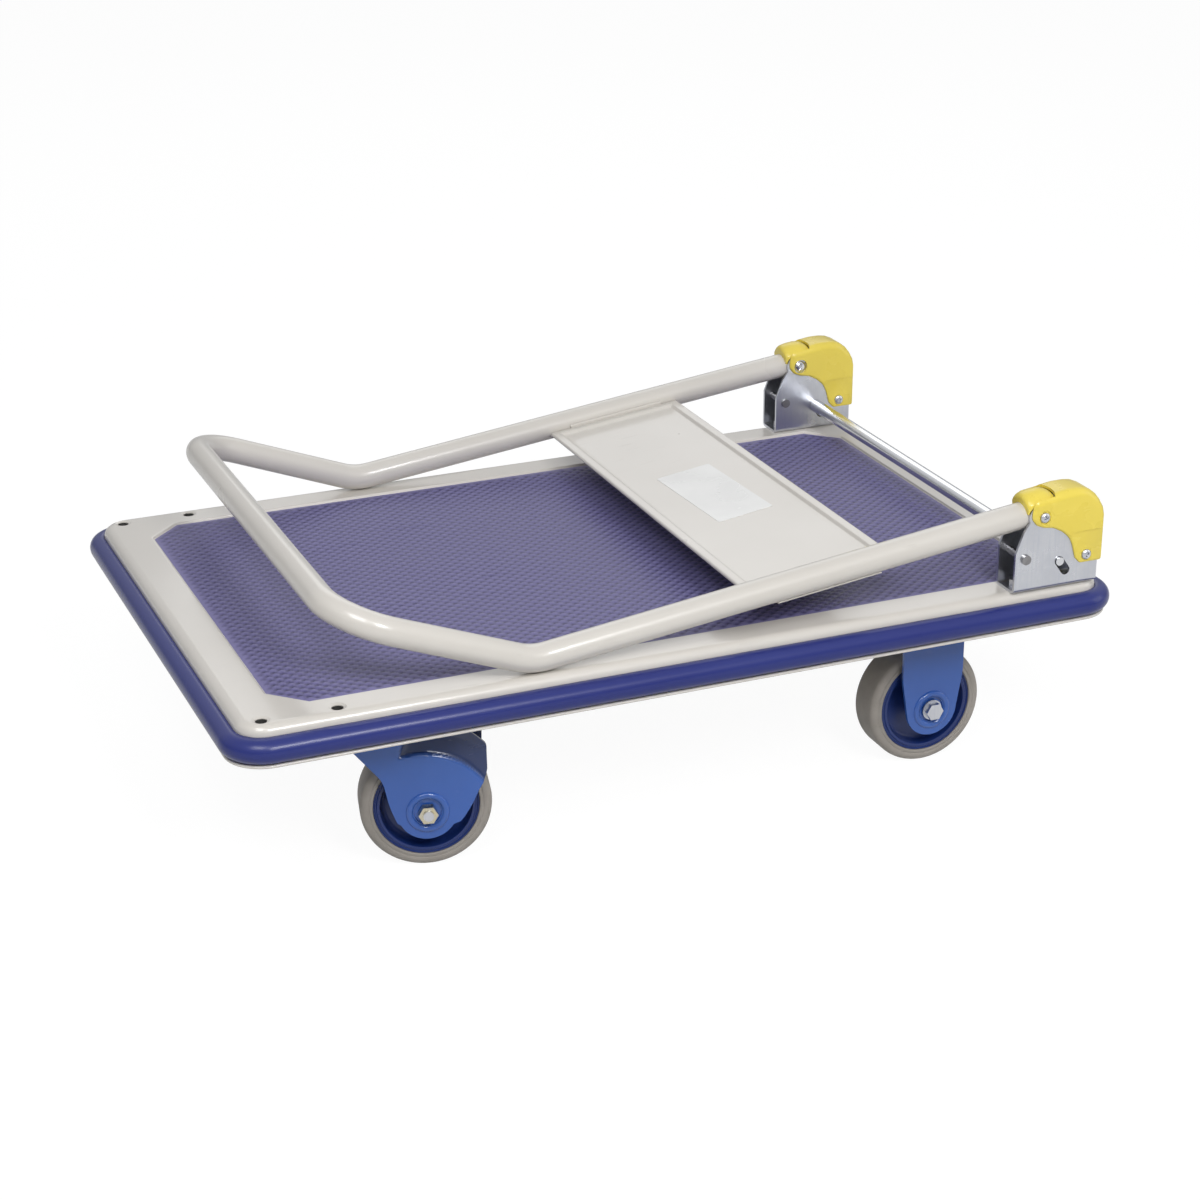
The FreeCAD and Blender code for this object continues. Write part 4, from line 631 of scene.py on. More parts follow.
# ---- handle -----------------------------------------------------------------------------
# One length of 21.7 mm steel tube bent into a hoop: two legs, each cranked once so that the
# grip stands clear of the deck, and the grip across the end. Painted cream like the deck.
PIVOT = np.array([0.2944, 0.2125, 0.2177])
TUBE = 0.01085
TUBE_WALL = 0.0018
LOWER_SLOPE = math.radians(7.03)
UPPER_SLOPE = math.radians(21.1)
TAIL = 0.0375
UPPER_LEG = 0.1564
CRANK_BEND = 0.05
GRIP_BEND = 0.045
bend_rise = CRANK_BEND * (
    math.cos((UPPER_SLOPE - LOWER_SLOPE) / 2) / math.cos((UPPER_SLOPE + LOWER_SLOPE) / 2) - 1
)
crank_z = TOP + TUBE + 0.0003 - bend_rise
crank_x = PIVOT[0] - (PIVOT[2] - crank_z) / math.tan(LOWER_SLOPE)
leg = np.array([
    (PIVOT[0] + TAIL * math.cos(LOWER_SLOPE), PIVOT[2] + TAIL * math.sin(LOWER_SLOPE)),
    (crank_x, crank_z),
    (crank_x - UPPER_LEG * math.cos(UPPER_SLOPE), crank_z + UPPER_LEG * math.sin(UPPER_SLOPE)),
])


def bent(corners, radii, steps=14):
    """Points and directions of a line with rounded corners: each corner is an arc that
    touches both of its runs, worked out from the middle of its circle."""
    points = [corners[0]]
    ways = [corners[1] - corners[0]]
    for before, corner, after, radius in zip(corners, corners[1:], corners[2:], radii):
        back = (before - corner) / np.linalg.norm(before - corner)
        ahead = (after - corner) / np.linalg.norm(after - corner)
        half_turn = (math.pi - math.acos(np.clip(back @ ahead, -1, 1))) / 2
        inwards = (back + ahead) / np.linalg.norm(back + ahead)
        middle = corner + inwards * radius / math.cos(half_turn)
        sweep = np.linspace(-half_turn, half_turn, steps + 1)[:, None]
        along = (ahead - back) / np.linalg.norm(ahead - back)
        points += list(middle + radius * (np.sin(sweep) * along - np.cos(sweep) * inwards))
        ways += list(np.cos(sweep) * along + np.sin(sweep) * inwards)
    points.append(corners[-1])
    ways.append(corners[-1] - corners[-2])
    ways = np.array(ways)
    return np.array(points), ways / np.linalg.norm(ways, axis=1, keepdims=True)


def tube_rings(points, ways, radii, upwards, steps=40):
    """Circles round the points, square to the ways: point plus radius times (cos, sin) in
    the plane of two vectors across the way."""
    side = np.cross(ways, upwards)
    side /= np.linalg.norm(side, axis=1, keepdims=True)
    up = np.cross(side, ways)
    angle = np.linspace(0, 2 * np.pi, steps, endpoint=False)
    ring = (
        np.cos(angle)[None, :, None] * side[:, None] + np.sin(angle)[None, :, None] * up[:, None]
    )
    return points[:, None] + np.asarray(radii)[:, None, None] * ring


left_leg = np.column_stack([leg[:, 0], np.full(3, -PIVOT[1]), leg[:, 1]])
right_leg = left_leg[::-1] * (1, -1, 1)
line, ways = bent(np.vstack([left_leg, right_leg]), [CRANK_BEND, GRIP_BEND, GRIP_BEND, CRANK_BEND])
grip_normal = np.array([math.sin(UPPER_SLOPE), 0, math.cos(UPPER_SLOPE)])
inside = TUBE - TUBE_WALL
end_steps = np.array([0.03, 0.0, 0.0, 0.0004])
end_radii = [inside, inside, TUBE - 0.0004, TUBE]
first = line[0] + ways[0] * end_steps[:, None]
last = line[-1] - ways[-1] * end_steps[::-1, None]
tube_points = np.vstack([first, line[1:-1], last])
tube_ways = np.vstack([np.repeat(ways[:1], 4, 0), ways[1:-1], np.repeat(ways[-1:], 4, 0)])
tube_radii = np.concatenate([end_radii, np.full(len(line) - 2, TUBE), end_radii[::-1]])
hoop = tube_rings(tube_points, tube_ways, tube_radii, grip_normal)
piece(
    "handle_hoop", "handle", cream, solid(hoop), merge=True, replaces=["handle_tube"], slot="cream_paint",
)


# ---- panel between the legs -------------------------------------------------------------
# Pressed sheet with a raised rim and a flat floor, welded across the legs by saddles that
# wrap under the tubes. Painted with the handle.
LEG_ALONG = np.array([math.cos(LOWER_SLOPE), 0, math.sin(LOWER_SLOPE)])
LEG_UP = np.array([-math.sin(LOWER_SLOPE), 0, math.cos(LOWER_SLOPE)])
PIVOT_LINE = PIVOT * (1, 0, 1)


def on_legs(x, y, z):
    """Points given along the lower legs, across the cart and square to the legs."""
    return (
        PIVOT_LINE
        + x[..., None] * LEG_ALONG
        + y[..., None] * np.array([0.0, 1.0, 0.0])
        + z[..., None] * LEG_UP
    )


PANEL_NEAR = -0.1255
PANEL_FAR = -0.2495
PANEL_HALF = 0.2013
RIM_TOP = -0.0013
FLOOR_TOP = -0.0037
RIM_WIDTH = 0.008
PANEL_SHEET = 0.0012


def press(to_edge):
    """Height of the pressing over the distance from its edge: the edge bends up to the rim
    over a quarter circle, the rim is flat, and an S-shaped shoulder goes down to the floor."""
    bend = 0.0018
    rise = np.sqrt(np.clip(bend ** 2 - np.clip(bend - to_edge, 0, bend) ** 2, 0, None)) - bend
    step = np.clip((to_edge - RIM_WIDTH + 0.001) / 0.0028, 0, 1)
    shoulder = (FLOOR_TOP - RIM_TOP) * step * step * (3 - 2 * step)
    return RIM_TOP + rise + shoulder


edge_steps = np.concatenate([
    [0, 0, 0.0002, 0.0005, 0.0009, 0.0013, 0.0018, 0.0045], 0.007 + np.linspace(0, 0.0028, 8), [0.014],
])
panel_x = np.concatenate([PANEL_FAR + edge_steps, [-0.215, -0.16], PANEL_NEAR - edge_steps[::-1]])
panel_y = np.concatenate([-PANEL_HALF + edge_steps, [-0.1, 0, 0.1], PANEL_HALF - edge_steps[::-1]])
sheet_x, sheet_y = np.meshgrid(panel_x, panel_y, indexing="ij")
nearest = np.minimum(
    np.minimum(sheet_x - PANEL_FAR, PANEL_NEAR - sheet_x), PANEL_HALF - np.abs(sheet_y)
)
sheet_z = press(nearest)
sheet_z[[0, -1], :] = FLOOR_TOP
sheet_z[:, [0, -1]] = FLOOR_TOP
panel_top = surface(on_legs(sheet_x, sheet_y, sheet_z)[::-1])
saddle_x = np.array([-0.230, -0.2297, -0.1413, -0.141])
wrap = np.radians(np.linspace(173, 297, 19))
saddles = []
for side in (-1, 1):
    radius = TUBE + 0.0001
    around_y = side * (PIVOT[1] + radius * np.cos(wrap))
    around_z = radius * np.sin(wrap)
    grid = on_legs(
        np.repeat(saddle_x[:, None], len(wrap), 1),
        np.repeat(around_y[None], len(saddle_x), 0),
        np.repeat(around_z[None], len(saddle_x), 0),
    )
    saddles.append(surface(grid if side < 0 else grid[::-1]))
panel = piece(
    "leg_panel", "handle", cream, panel_top, *saddles, sharp=50,
    replaces=["handle_panel"], slot="cream_paint",
)
thick = panel.modifiers.new("sheet", "SOLIDIFY")
thick.thickness = PANEL_SHEET
thick.offset = -1


# ---- label ------------------------------------------------------------------------------
# A blank sticker of off-white film with rounded corners, stuck a little askew on the floor
# of the panel.
film = finish(
    "label_film", (0.8, 0.8, 0.79), (0.74, 0.74, 0.73), 0.22, 0.3,
    cloud=20.0, grain=900.0, grain_depth=1e-5, scuffs=(60.0, 0.2), scuff_tone=(0.6, 0.6, 0.58),
)
label_ring = rounded_ring(0.0, (0.025, 0.0575), 0.002)
askew = math.radians(2.5)
label_x = label_ring[:, 0] * math.cos(askew) - label_ring[:, 1] * math.sin(askew) - 0.186
label_y = label_ring[:, 0] * math.sin(askew) + label_ring[:, 1] * math.cos(askew) - 0.008
label_z = FLOOR_TOP + np.array([0.00002, 0.00027])
label_grid = on_legs(
    np.repeat(label_x[None], 2, 0), np.repeat(label_y[None], 2, 0),
    np.repeat(label_z[:, None], len(label_x), 1),
)
piece(
    "blank_label", "handle", film, solid(label_grid), merge=True,
    replaces=["panel_label"], slot="label_film",
)


# ---- casters: paint and plastics --------------------------------------------------------
# Forks and top plates are pressed steel in royal blue enamel. Wheel centres are moulded in
# dark blue nylon, and the tyres in grey rubber that doesn't mark floors.
def set_in_painted_shade(tree, place):
    """Painted shade: darker enamel where the cheek is set in, from the mesh's own set_in values."""
    deep = tree.nodes.new("ShaderNodeAttribute")
    deep.attribute_name = "set_in"
    return combine(tree, "MULTIPLY", deep.outputs["Fac"], 0.85), (0.006, 0.012, 0.05), None


royal = finish(
    "royal_enamel", (0.026, 0.092, 0.36), (0.032, 0.108, 0.4), 0.2, 0.28,
    cloud=14.0, grain=520.0, grain_depth=3.5e-5, scuffs=(40.0, 0.4),
    scuff_tone=(0.08, 0.17, 0.46), coat=0.35, extra=set_in_painted_shade,
)
nylon = finish(
    "wheel_nylon", (0.007, 0.022, 0.125), (0.01, 0.03, 0.15), 0.26, 0.36,
    cloud=25.0, grain=900.0, grain_depth=2e-5, scuffs=(60.0, 0.3), scuff_tone=(0.03, 0.06, 0.2),
)
coat_node(royal, "swivel_plate_left", "swivel_plate_right")

TURN = math.radians(13.8)
TRAIL = 0.038
AXLE_Z = 0.05
CASTER_Y = 0.1673
FRONT_X = -0.2445
REAR_X = 0.2212
CHEEK_OUT = 0.0249
FORK_SHEET = 0.0026
LOBE = 0.0224
SET_IN = 0.003


def ease(value):
    """0 below 0, 1 above 1 and 3v^2 - 2v^3 between."""
    value = np.clip(value, 0, 1)
    return value * value * (3 - 2 * value)


def cheek_edges(z, outline, axle_x, hand):
    """Edge of a cheek at each height: the outline, or the round lobe where that lies
    further out, at axle_x plus or minus the root of radius squared less height squared."""
    outline = np.array(outline)
    order = np.argsort(outline[:, 1])
    line = np.interp(z, outline[order, 1], outline[order, 0])
    lobe = axle_x + hand * np.sqrt(np.clip(LOBE ** 2 - (z - AXLE_Z) ** 2, 0, None))
    low = z < outline[order[0], 1]
    return np.where(low, lobe, np.maximum(line * hand, lobe * hand) * hand)


def folded_fork(front, back, axle_x, top, half_of, bend=0.007, columns=46):
    """Rings of a folded fork. A row climbs the near cheek, turns over the bend, crosses the
    crown and goes down the far cheek; each ring runs along the outer face at that row and
    back along the inner face, one sheet thickness inside it."""
    lobe_z = AXLE_Z - LOBE * np.cos(np.linspace(0.02, np.pi / 2, 18))
    up_z = np.linspace(AXLE_Z, top - bend, 44)[1:]
    cheek_z = np.concatenate([lobe_z, up_z])
    turn = np.linspace(0, np.pi / 2, 7)[1:]
    rows_z = np.concatenate([cheek_z, np.full(len(turn), top - bend)])
    rise = np.concatenate([np.zeros(len(cheek_z)), np.sin(turn)])
    draw = np.concatenate([np.zeros(len(cheek_z)), 1 - np.cos(turn)])
    low_x = cheek_edges(rows_z, front, axle_x, -1)[:, None]
    high_x = cheek_edges(rows_z, back, axle_x, 1)[:, None]
    across = 0.5 - 0.5 * np.cos(np.linspace(0, np.pi, columns))
    grid_x = low_x + (high_x - low_x) * (0.35 * across + 0.65 * np.linspace(0, 1, columns))
    half = half_of(grid_x, np.repeat(rows_z[:, None], columns, 1))
    outer_y = half - bend * draw[:, None]
    outer_z = rows_z[:, None] + bend * rise[:, None] + 0 * grid_x
    small = bend - FORK_SHEET
    inner_y = half - FORK_SHEET - small * draw[:, None]
    inner_z = rows_z[:, None] + small * rise[:, None] + 0 * grid_x
    rings = np.concatenate([
        np.stack([grid_x, -outer_y, outer_z], -1),
        np.stack([grid_x, -inner_y, inner_z], -1)[:, ::-1],
    ], 1)
    return np.concatenate([rings, (rings * (1, -1, 1))[::-1]])


def placed(points, spot, turn=0.0):
    """Points turned clockwise about the vertical, seen from above, and moved to a spot."""
    x = points[..., 0] * math.cos(turn) + points[..., 1] * math.sin(turn)
    y = points[..., 1] * math.cos(turn) - points[..., 0] * math.sin(turn)
    return np.stack([x + spot[0], y + spot[1], points[..., 2] + spot[2]], -1)


def bulged(x, z):
    """Half width of the swivel fork: full inside an arc over the wheel and along the front
    edge. Above the arc it steps in by 3 mm and leans in by 0.25 mm for each mm further up."""
    beyond = np.hypot(x - 0.033, z - 0.0398) - 0.058
    inside = ease(0.5 - beyond / 0.0024)
    front_edge = ease((0.018 + 0.31 * (z - 0.095) - x) / 0.004 + 0.5)
    drop = SET_IN + 0.25 * np.clip(beyond, 0, 0.016)
    return CHEEK_OUT - drop * (1 - np.maximum(inside, front_edge))


def flat_cheek(x, z):
    """Half width of the fixed fork, which has no bulge."""
    return CHEEK_OUT + 0 * x


swivel_front = [
    (0.0156, 0.041), (0.0116, 0.051), (0.0088, 0.0605), (0.0074, 0.068), (0.0062, 0.0735),
    (0.0038, 0.0795), (0.0, 0.0843), (-0.0166, 0.1043), (-0.0235, 0.112), (-0.0245, 0.117),
]
swivel_back = [
    (0.0614, 0.039), (0.0656, 0.044), (0.0695, 0.05), (0.0732, 0.057), (0.0768, 0.065),
    (0.0826, 0.075), (0.084, 0.08), (0.084, 0.0985), (0.0828, 0.1008), (0.065, 0.117),
]
fixed_edge = [
    (0.0221, 0.0462), (0.0238, 0.057), (0.026, 0.07), (0.0272, 0.0775), (0.0275, 0.083),
    (0.0275, 0.125),
]
boss = [(0.0166, -0.0006), (0.0164, 0.0002), (0.0158, 0.0013), (0.0148, 0.0019), (0.0133, 0.0019)]
boss += [(0.0122, 0.0015), (0.0113, 0.0006), (0.0107, -0.0012)]
recess = [(0.0102, -0.0016), (0.0106, 0.0004), (0.0106, 0.003)]
axle_hole = [(0.0042, -0.004), (0.0042, 0.004)]
crown_hole = [(0.0062, -0.006), (0.0062, 0.006)]
top_plate = [(-0.0008, 0.125), (0.0, 0.1258), (0.0, 0.1272), (-0.0008, 0.128)]
# Lowest height of the painted shade on the swivel fork's set-in cheek.
SET_IN_LOW = 0.07
fixed_edges = ([(-a, b) for a, b in fixed_edge], fixed_edge)
for hand, y in (("left", -CASTER_Y), ("right", CASTER_Y)):
    for node_name, body, x, turn, axle_x, edges, half_of, top in (
        (
            "swivel_fork", f"swivel_{hand}", FRONT_X, TURN, TRAIL,
            (swivel_front, swivel_back), bulged, 0.117,
        ),
        ("fixed_fork", "base", REAR_X, 0.0, 0.0, fixed_edges, flat_cheek, 0.125),
    ):
        spot = (x, y, 0)
        bosses = []
        holes = []
        for side in (-1, 1):
            foot = (axle_x, side * CHEEK_OUT, AXLE_Z)
            ring = placed(turned(boss, foot, (0, side, 0), 48), spot, turn)
            bosses.append(surface(ring, round_u=True, round_v=True))
            for cut_profile in (recess, axle_hole):
                holes.append(solid(placed(turned(cut_profile, foot, (0, side, 0), 40), spot, turn)))
        if node_name == "fixed_fork":
            plate_rings = np.array([level(rounded_ring(a, (0.046, 0.036), 0.005), b) for a, b in top_plate])
            bosses.append(solid(placed(plate_rings, spot)))
        else:
            holes.append(solid(placed(turned(crown_hole, (0, 0, top), (0, 0, 1), 32), spot, turn)))
        shell = solid(placed(folded_fork(*edges, axle_x, top, half_of), spot, turn))
        fork = piece(f"{node_name}_pressing_{hand}", body, royal, shell, merge=True, sharp=40)
        drill(fork, *holes, sharp=40)
        join_on(fork, *bosses)
        if node_name == "swivel_fork":
            # Mark the set-in part of the swivel cheek above SET_IN_LOW, which the enamel darkens as painted
            # shade.
            spots = np.empty(len(fork.data.vertices) * 3, np.float32)
            fork.data.vertices.foreach_get("co", spots)
            spots = spots.reshape(-1, 3) - spot
            along = spots[:, 0] * math.cos(turn) - spots[:, 1] * math.sin(turn)
            depth = (CHEEK_OUT - bulged(along, spots[:, 2])) / SET_IN
            depth = ease(depth) * (spots[:, 2] > SET_IN_LOW)
            deep = fork.data.attributes.new("set_in", "FLOAT", "POINT")
            deep.data.foreach_set("value", depth.astype(np.float32))
        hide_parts(f"{node_name}_{hand}")

grey_rubber = finish(
    "grey_tyre_rubber", (0.33, 0.3, 0.27), (0.26, 0.24, 0.215), 0.5, 0.62,
    cloud=35.0, grain=1200.0, grain_depth=3e-5, scuffs=(70.0, 0.5), scuff_tone=(0.18, 0.165, 0.15),
)
tyre_half = 0.0155
shoulder = 0.005
tread = [(0.0403, -tyre_half + 0.0006), (0.0409, -tyre_half)]
tread += [(0.0428, -tyre_half), (0.0432, -tyre_half + 0.0003), (0.0436, -tyre_half)]
tread += arc((0.045, shoulder - tyre_half), shoulder, -90, -4, 7).tolist()
tread += [(0.05, -0.0006), (0.05, 0.0006)]
tread += arc((0.045, tyre_half - shoulder), shoulder, 4, 90, 7).tolist()
tread += [(0.0436, tyre_half), (0.0432, tyre_half - 0.0003), (0.0428, tyre_half)]
tread += [(0.0409, tyre_half), (0.0403, tyre_half - 0.0006)]
centre_half = [
    (0.00605, 0.0219), (0.0122, 0.0219), (0.013, 0.0211), (0.0136, 0.0075), (0.0152, 0.0046),
    (0.0195, 0.004), (0.0305, 0.004), (0.0328, 0.0052), (0.0342, 0.0085), (0.0346, 0.0128),
    (0.0352, 0.0143), (0.0372, 0.0145), (0.0378, 0.0137), (0.0386, 0.0137), (0.0392, 0.0145),
    (0.0398, 0.0145), (0.04025, 0.014),
]
centre_section = [(r, h) for r, h in centre_half] + [(r, -h) for r, h in reversed(centre_half)]
for end in ("front", "rear"):
    for hand, side_y in (("left", -CASTER_Y), ("right", CASTER_Y)):
        if end == "front":
            centre = (FRONT_X + TRAIL * math.cos(TURN), side_y - TRAIL * math.sin(TURN), AXLE_Z)
            axle = (math.sin(TURN), math.cos(TURN), 0)
        else:
            centre = (REAR_X, side_y, AXLE_Z)
            axle = (0, 1, 0)
        for name, stuff, section, steps, node_name, slot in (
            ("tyre_rubber", grey_rubber, tread, 120, "tyre", "tyre_rubber"),
            ("wheel_moulding", nylon, centre_section, 96, "wheel_centre", "wheel_plastic"),
        ):
            piece(
                f"{end}_{name}_{hand}", f"{end}_wheel_{hand}", stuff,
                surface(turned(section, centre, axle, steps), round_u=True, round_v=True),
                merge=True, sharp=40, replaces=[f"{end}_{node_name}_{hand}"], slot=slot,
            )


# ---- zinc and steel ---------------------------------------------------------------------
# The hinge brackets and most fasteners are zinc plated, with the faint cloudy crystals of
# the plating. The foot bar is turned and polished, and the axle nuts have a yellow finish.
# Crystals: cells of slightly different brightness and hardly any height, with faint upright
# rolling streaks.
plating, plating_in, plating_out = group(
    "plating_crystals", [("Vector", "NodeSocketVector", None)],
    [("Mask", "NodeSocketFloat"), ("Height", "NodeSocketFloat")],
)
cells = plating.nodes.new("ShaderNodeTexVoronoi")
cells.inputs["Scale"].default_value = 260.0
link(plating, plating_in.outputs["Vector"], cells.inputs["Vector"])
split = plating.nodes.new("ShaderNodeSeparateColor")
link(plating, cells.outputs["Color"], split.inputs[0])
drawn_up = plating.nodes.new("ShaderNodeMapping")
drawn_up.inputs["Scale"].default_value = (22, 22, 1)
link(plating, plating_in.outputs["Vector"], drawn_up.inputs["Vector"])
streaks = span(plating, noise(plating, drawn_up.outputs[0], 26.0, 3, 0.6), 0.4, 0.75)
cloudy = combine(plating, "MULTIPLY", split.outputs[0], 0.25)
cloudy = combine(plating, "MAXIMUM", cloudy, combine(plating, "MULTIPLY", streaks, 0.5))
link(plating, cloudy, plating_out.inputs["Mask"])
link(plating, combine(plating, "MULTIPLY", split.outputs[1], 4e-6), plating_out.inputs["Height"])


def crystals(tree, place):
    """The plating's crystals as a mask, their colour and their height."""
    used = tree.nodes.new("ShaderNodeGroup")
    used.node_tree = plating
    link(tree, place, used.inputs["Vector"])
    return used.outputs["Mask"], (0.5, 0.53, 0.6), used.outputs["Height"]


def turning_marks(tree, place):
    """Fine rings left by the lathe, round the bar's length."""
    rings = tree.nodes.new("ShaderNodeTexWave")
    rings.bands_direction = "Y"
    rings.inputs["Scale"].default_value = 380.0
    rings.inputs["Distortion"].default_value = 1.5
    link(tree, place, rings.inputs["Vector"])
    return None, None, combine(tree, "MULTIPLY", rings.outputs["Fac"], 3e-6)


zinc = finish(
    "zinc_plating", (0.66, 0.67, 0.7), (0.58, 0.59, 0.63), 0.26, 0.36,
    cloud=30.0, grain=1500.0, grain_depth=8e-6, scuffs=(55.0, 0.5),
    scuff_tone=(0.78, 0.79, 0.81), metallic=1.0, extra=crystals,
)
polished = finish(
    "polished_steel", (0.72, 0.73, 0.75), (0.64, 0.65, 0.67), 0.14, 0.22,
    cloud=18.0, grain=1800.0, grain_depth=5e-6, scuffs=(60.0, 0.4),
    scuff_tone=(0.8, 0.8, 0.8), metallic=1.0, extra=turning_marks,
)
brassy = finish(
    "yellow_zinc", (0.66, 0.57, 0.34), (0.6, 0.56, 0.42), 0.22, 0.32,
    cloud=90.0, grain=1500.0, grain_depth=8e-6, scuffs=(80.0, 0.4),
    scuff_tone=(0.75, 0.68, 0.5), metallic=1.0, extra=crystals,
)


def both(*names):
    """Each name with _left and with _right."""
    return [f"{name}_{hand}" for name in names for hand in ("left", "right")]


coat_node(
    zinc, "bracket_bolts", "bracket_nuts", "caster_bolts", "caster_nuts", "rear_axle_bolts",
    "rear_axle_nuts", "rear_axle_sleeves",
    *both("hinge_bracket", "front_axle_bolt", "front_axle_sleeve"),
    *both("kingpin", "kingpin_nut", "swivel_race"),
)
coat_node(polished, "lock_bar", *both("pivot_pin", "swivel_balls"))
coat_node(brassy, *both("front_axle_nut"))
wire = finish(
    "spring_wire", (0.1, 0.085, 0.07), (0.05, 0.045, 0.04), 0.3, 0.42,
    cloud=120.0, grain=2500.0, grain_depth=4e-6, scuffs=(90.0, 0.3),
    scuff_tone=(0.4, 0.36, 0.3), metallic=1.0,
)
coat_node(wire, *both("lock_spring"))
turned_steel = finish(
    "turned_steel", (0.36, 0.355, 0.36), (0.26, 0.255, 0.26), 0.3, 0.4,
    cloud=160.0, grain=1500.0, grain_depth=8e-6, scuffs=(90.0, 0.4),
    scuff_tone=(0.5, 0.5, 0.5), metallic=1.0,
)
coat_node(turned_steel, "stop_pins")


# ---- rails under the deck ---------------------------------------------------------------
# Folded channels welded across the underside for the casters, and a lighter one between
# them, in the deck's cream paint made darker and duller: the darkening is painted shade under the deck.
shaded_cream = finish(
    "cream_painted_shade", (0.5, 0.485, 0.435), (0.44, 0.425, 0.38), 0.45, 0.58,
    cloud=8.0, grain=380.0, grain_depth=4e-5, scuffs=(20.0, 0.4), scuff_tone=(0.36, 0.34, 0.3),
)
coat_node(shaded_cream, "cross_rail_front", "cross_rail_rear", "centre_stiffener")


# ---- hinge covers and boots -------------------------------------------------------------
# Moulded shells of bright yellow polypropylene, with the faint texture of their mould.
yellow = finish(
    "yellow_polypropylene", (0.78, 0.62, 0.085), (0.82, 0.66, 0.1), 0.24, 0.32,
    cloud=22.0, grain=1100.0, grain_depth=2.5e-5, scuffs=(50.0, 0.3), scuff_tone=(0.88, 0.78, 0.3),
)


def rounded_outline(corners, radii, steps=6):
    """Closed outline with rounded corners, and the outward direction at each point."""
    corners = np.array(corners, float)
    start = (corners[-1] + corners[0]) / 2
    line, ways = bent(np.vstack([start, corners, start]), radii, steps)
    return line[:-1], np.stack([ways[:-1, 1], -ways[:-1, 0]], 1)


def moulding(line, out, half, edge, side_y):
    """Rings across a moulded block: the outline, drawn in by edge * (1 - cos t) while the
    side goes out by edge * sin t, so that its long edges are rounded."""
    quarter = np.linspace(np.pi / 2, 0, 7)
    sides = np.concatenate([-np.ones(7), np.ones(7)])
    turn = np.concatenate([quarter, quarter[::-1]])
    draw = (1 - np.cos(turn))[:, None, None] * (edge[:, None] * out)[None]
    flat = line[None] - draw
    y = side_y + sides[:, None] * (half - edge[None] * (1 - np.sin(turn))[:, None])
    return np.stack([PIVOT[0] + flat[..., 0], y, PIVOT[2] + flat[..., 1]], -1)


def plank(outline, low, high, side_y):
    """A flat block from an outline in side view, between two distances from the cover's middle."""
    x, z = np.array(outline).T
    rows = [
        np.column_stack([PIVOT[0] + x, np.full(len(x), side_y + y), PIVOT[2] + z]) for y in (low, high)
    ]
    return solid(rows)


cover_corners = [
    (-0.0117, 0.004), (-0.0102, -0.0016), (-0.0062, -0.0065), (0.0003, -0.0092), (0.0088, -0.0105),
    (0.0176, -0.015), (0.0244, -0.0209), (0.0276, -0.0273), (0.0312, -0.0396), (0.0356, -0.0442),
    (0.0556, -0.0442), (0.0556, 0.0193), (0.021, 0.0193), (-0.0117, 0.0148),
]
cover_radii = [
    0.009, 0.008, 0.008, 0.012, 0.014, 0.016, 0.014, 0.02, 0.004, 0.003, 0.0025, 0.025, 0.04, 0.0078,
]
COVER_HALF = 0.0158
COVER_INSIDE = 0.0138
TAIL_HALF = 0.0152
cover_line, cover_out = rounded_outline(cover_corners, cover_radii)
cover_edge = 0.0022 + 0.0045 * ease((cover_line[:, 1] + 0.004) / 0.014)
hollow_line, hollow_out = rounded_outline(
    [(-0.03, -0.07), (0.0536, -0.07), (0.0536, 0.0173), (0.021, 0.0171), (-0.03, 0.0102)],
    [0.002, 0.002, 0.023, 0.03, 0.009],
)
hollow_edge = 0.0005 + 0.0045 * ease((hollow_line[:, 1] + 0.004) / 0.014)
mouth_y = np.linspace(-COVER_INSIDE, COVER_INSIDE, 17)
mouth_x = 0.0124 - 0.003 * (mouth_y / COVER_INSIDE) ** 2
mouth_x = np.concatenate([mouth_x, [-0.03, -0.03]])
mouth_y = np.concatenate([mouth_y, [COVER_INSIDE, -COVER_INSIDE]])
tail_line = [(0.0235, -0.0205), (0.0262, -0.0168), (0.07, -0.0162), (0.07, -0.06), (0.0235, -0.06)]
SCREWS = ((0.0, 0.0), (0.0405, -0.037))
dimple = [(0.0053, -0.0007), (0.0056, 0.0), (0.0056, 0.002)]
window = [(0.0065, -0.004), (0.0065, 0.002)]
back_line = [(0.055, -0.0162), (0.055, -0.06), (0.07, -0.06), (0.07, -0.0162)]
cross_head = [
    (0.0, 0.0022), (0.0012, 0.00218), (0.0026, 0.0019), (0.0037, 0.0013), (0.0043, 0.0004),
    (0.0043, -0.0006), (0.0, -0.0006),
]


def screw_faces(side_y, inwards):
    """Where a cover's screws stand: on both holes outside, on the lower one inside."""
    outside = [
        ((PIVOT[0] + x, side_y - inwards * COVER_HALF, PIVOT[2] + z), -inwards) for x, z in SCREWS
    ]
    x, z = SCREWS[1]
    return outside + [((PIVOT[0] + x, side_y + inwards * COVER_HALF, PIVOT[2] + z), inwards)]


for hand, side_y, inwards in (("left", -PIVOT[1], 1), ("right", PIVOT[1], -1)):
    block = solid(moulding(cover_line, cover_out, COVER_HALF, cover_edge, side_y))
    cover = piece(f"cover_shell_{hand}", "base", yellow, block, merge=True, sharp=40)
    cuts = [solid(moulding(hollow_line, hollow_out, COVER_INSIDE, hollow_edge, side_y))]
    cuts.append(solid([
        np.column_stack([PIVOT[0] + mouth_x, side_y + mouth_y, np.full(len(mouth_x), PIVOT[2] + z)])
        for z in (0.006, 0.03)
    ]))
    cuts += [
        plank(tail_line, TAIL_HALF, 0.018, side_y), plank(tail_line, -0.018, -TAIL_HALF, side_y),
        plank(back_line, -0.018, 0.018, side_y),
    ]
    for foot, outwards in screw_faces(side_y, inwards):
        cuts.append(solid(turned(dimple, foot, (0, outwards, 0), 36)))
    pivot_side = (PIVOT[0], side_y + inwards * COVER_HALF, PIVOT[2])
    cuts.append(solid(turned(window, pivot_side, (0, inwards, 0), 40)))
    drill(cover, *cuts, sharp=38)
    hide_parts(f"hinge_cover_{hand}")

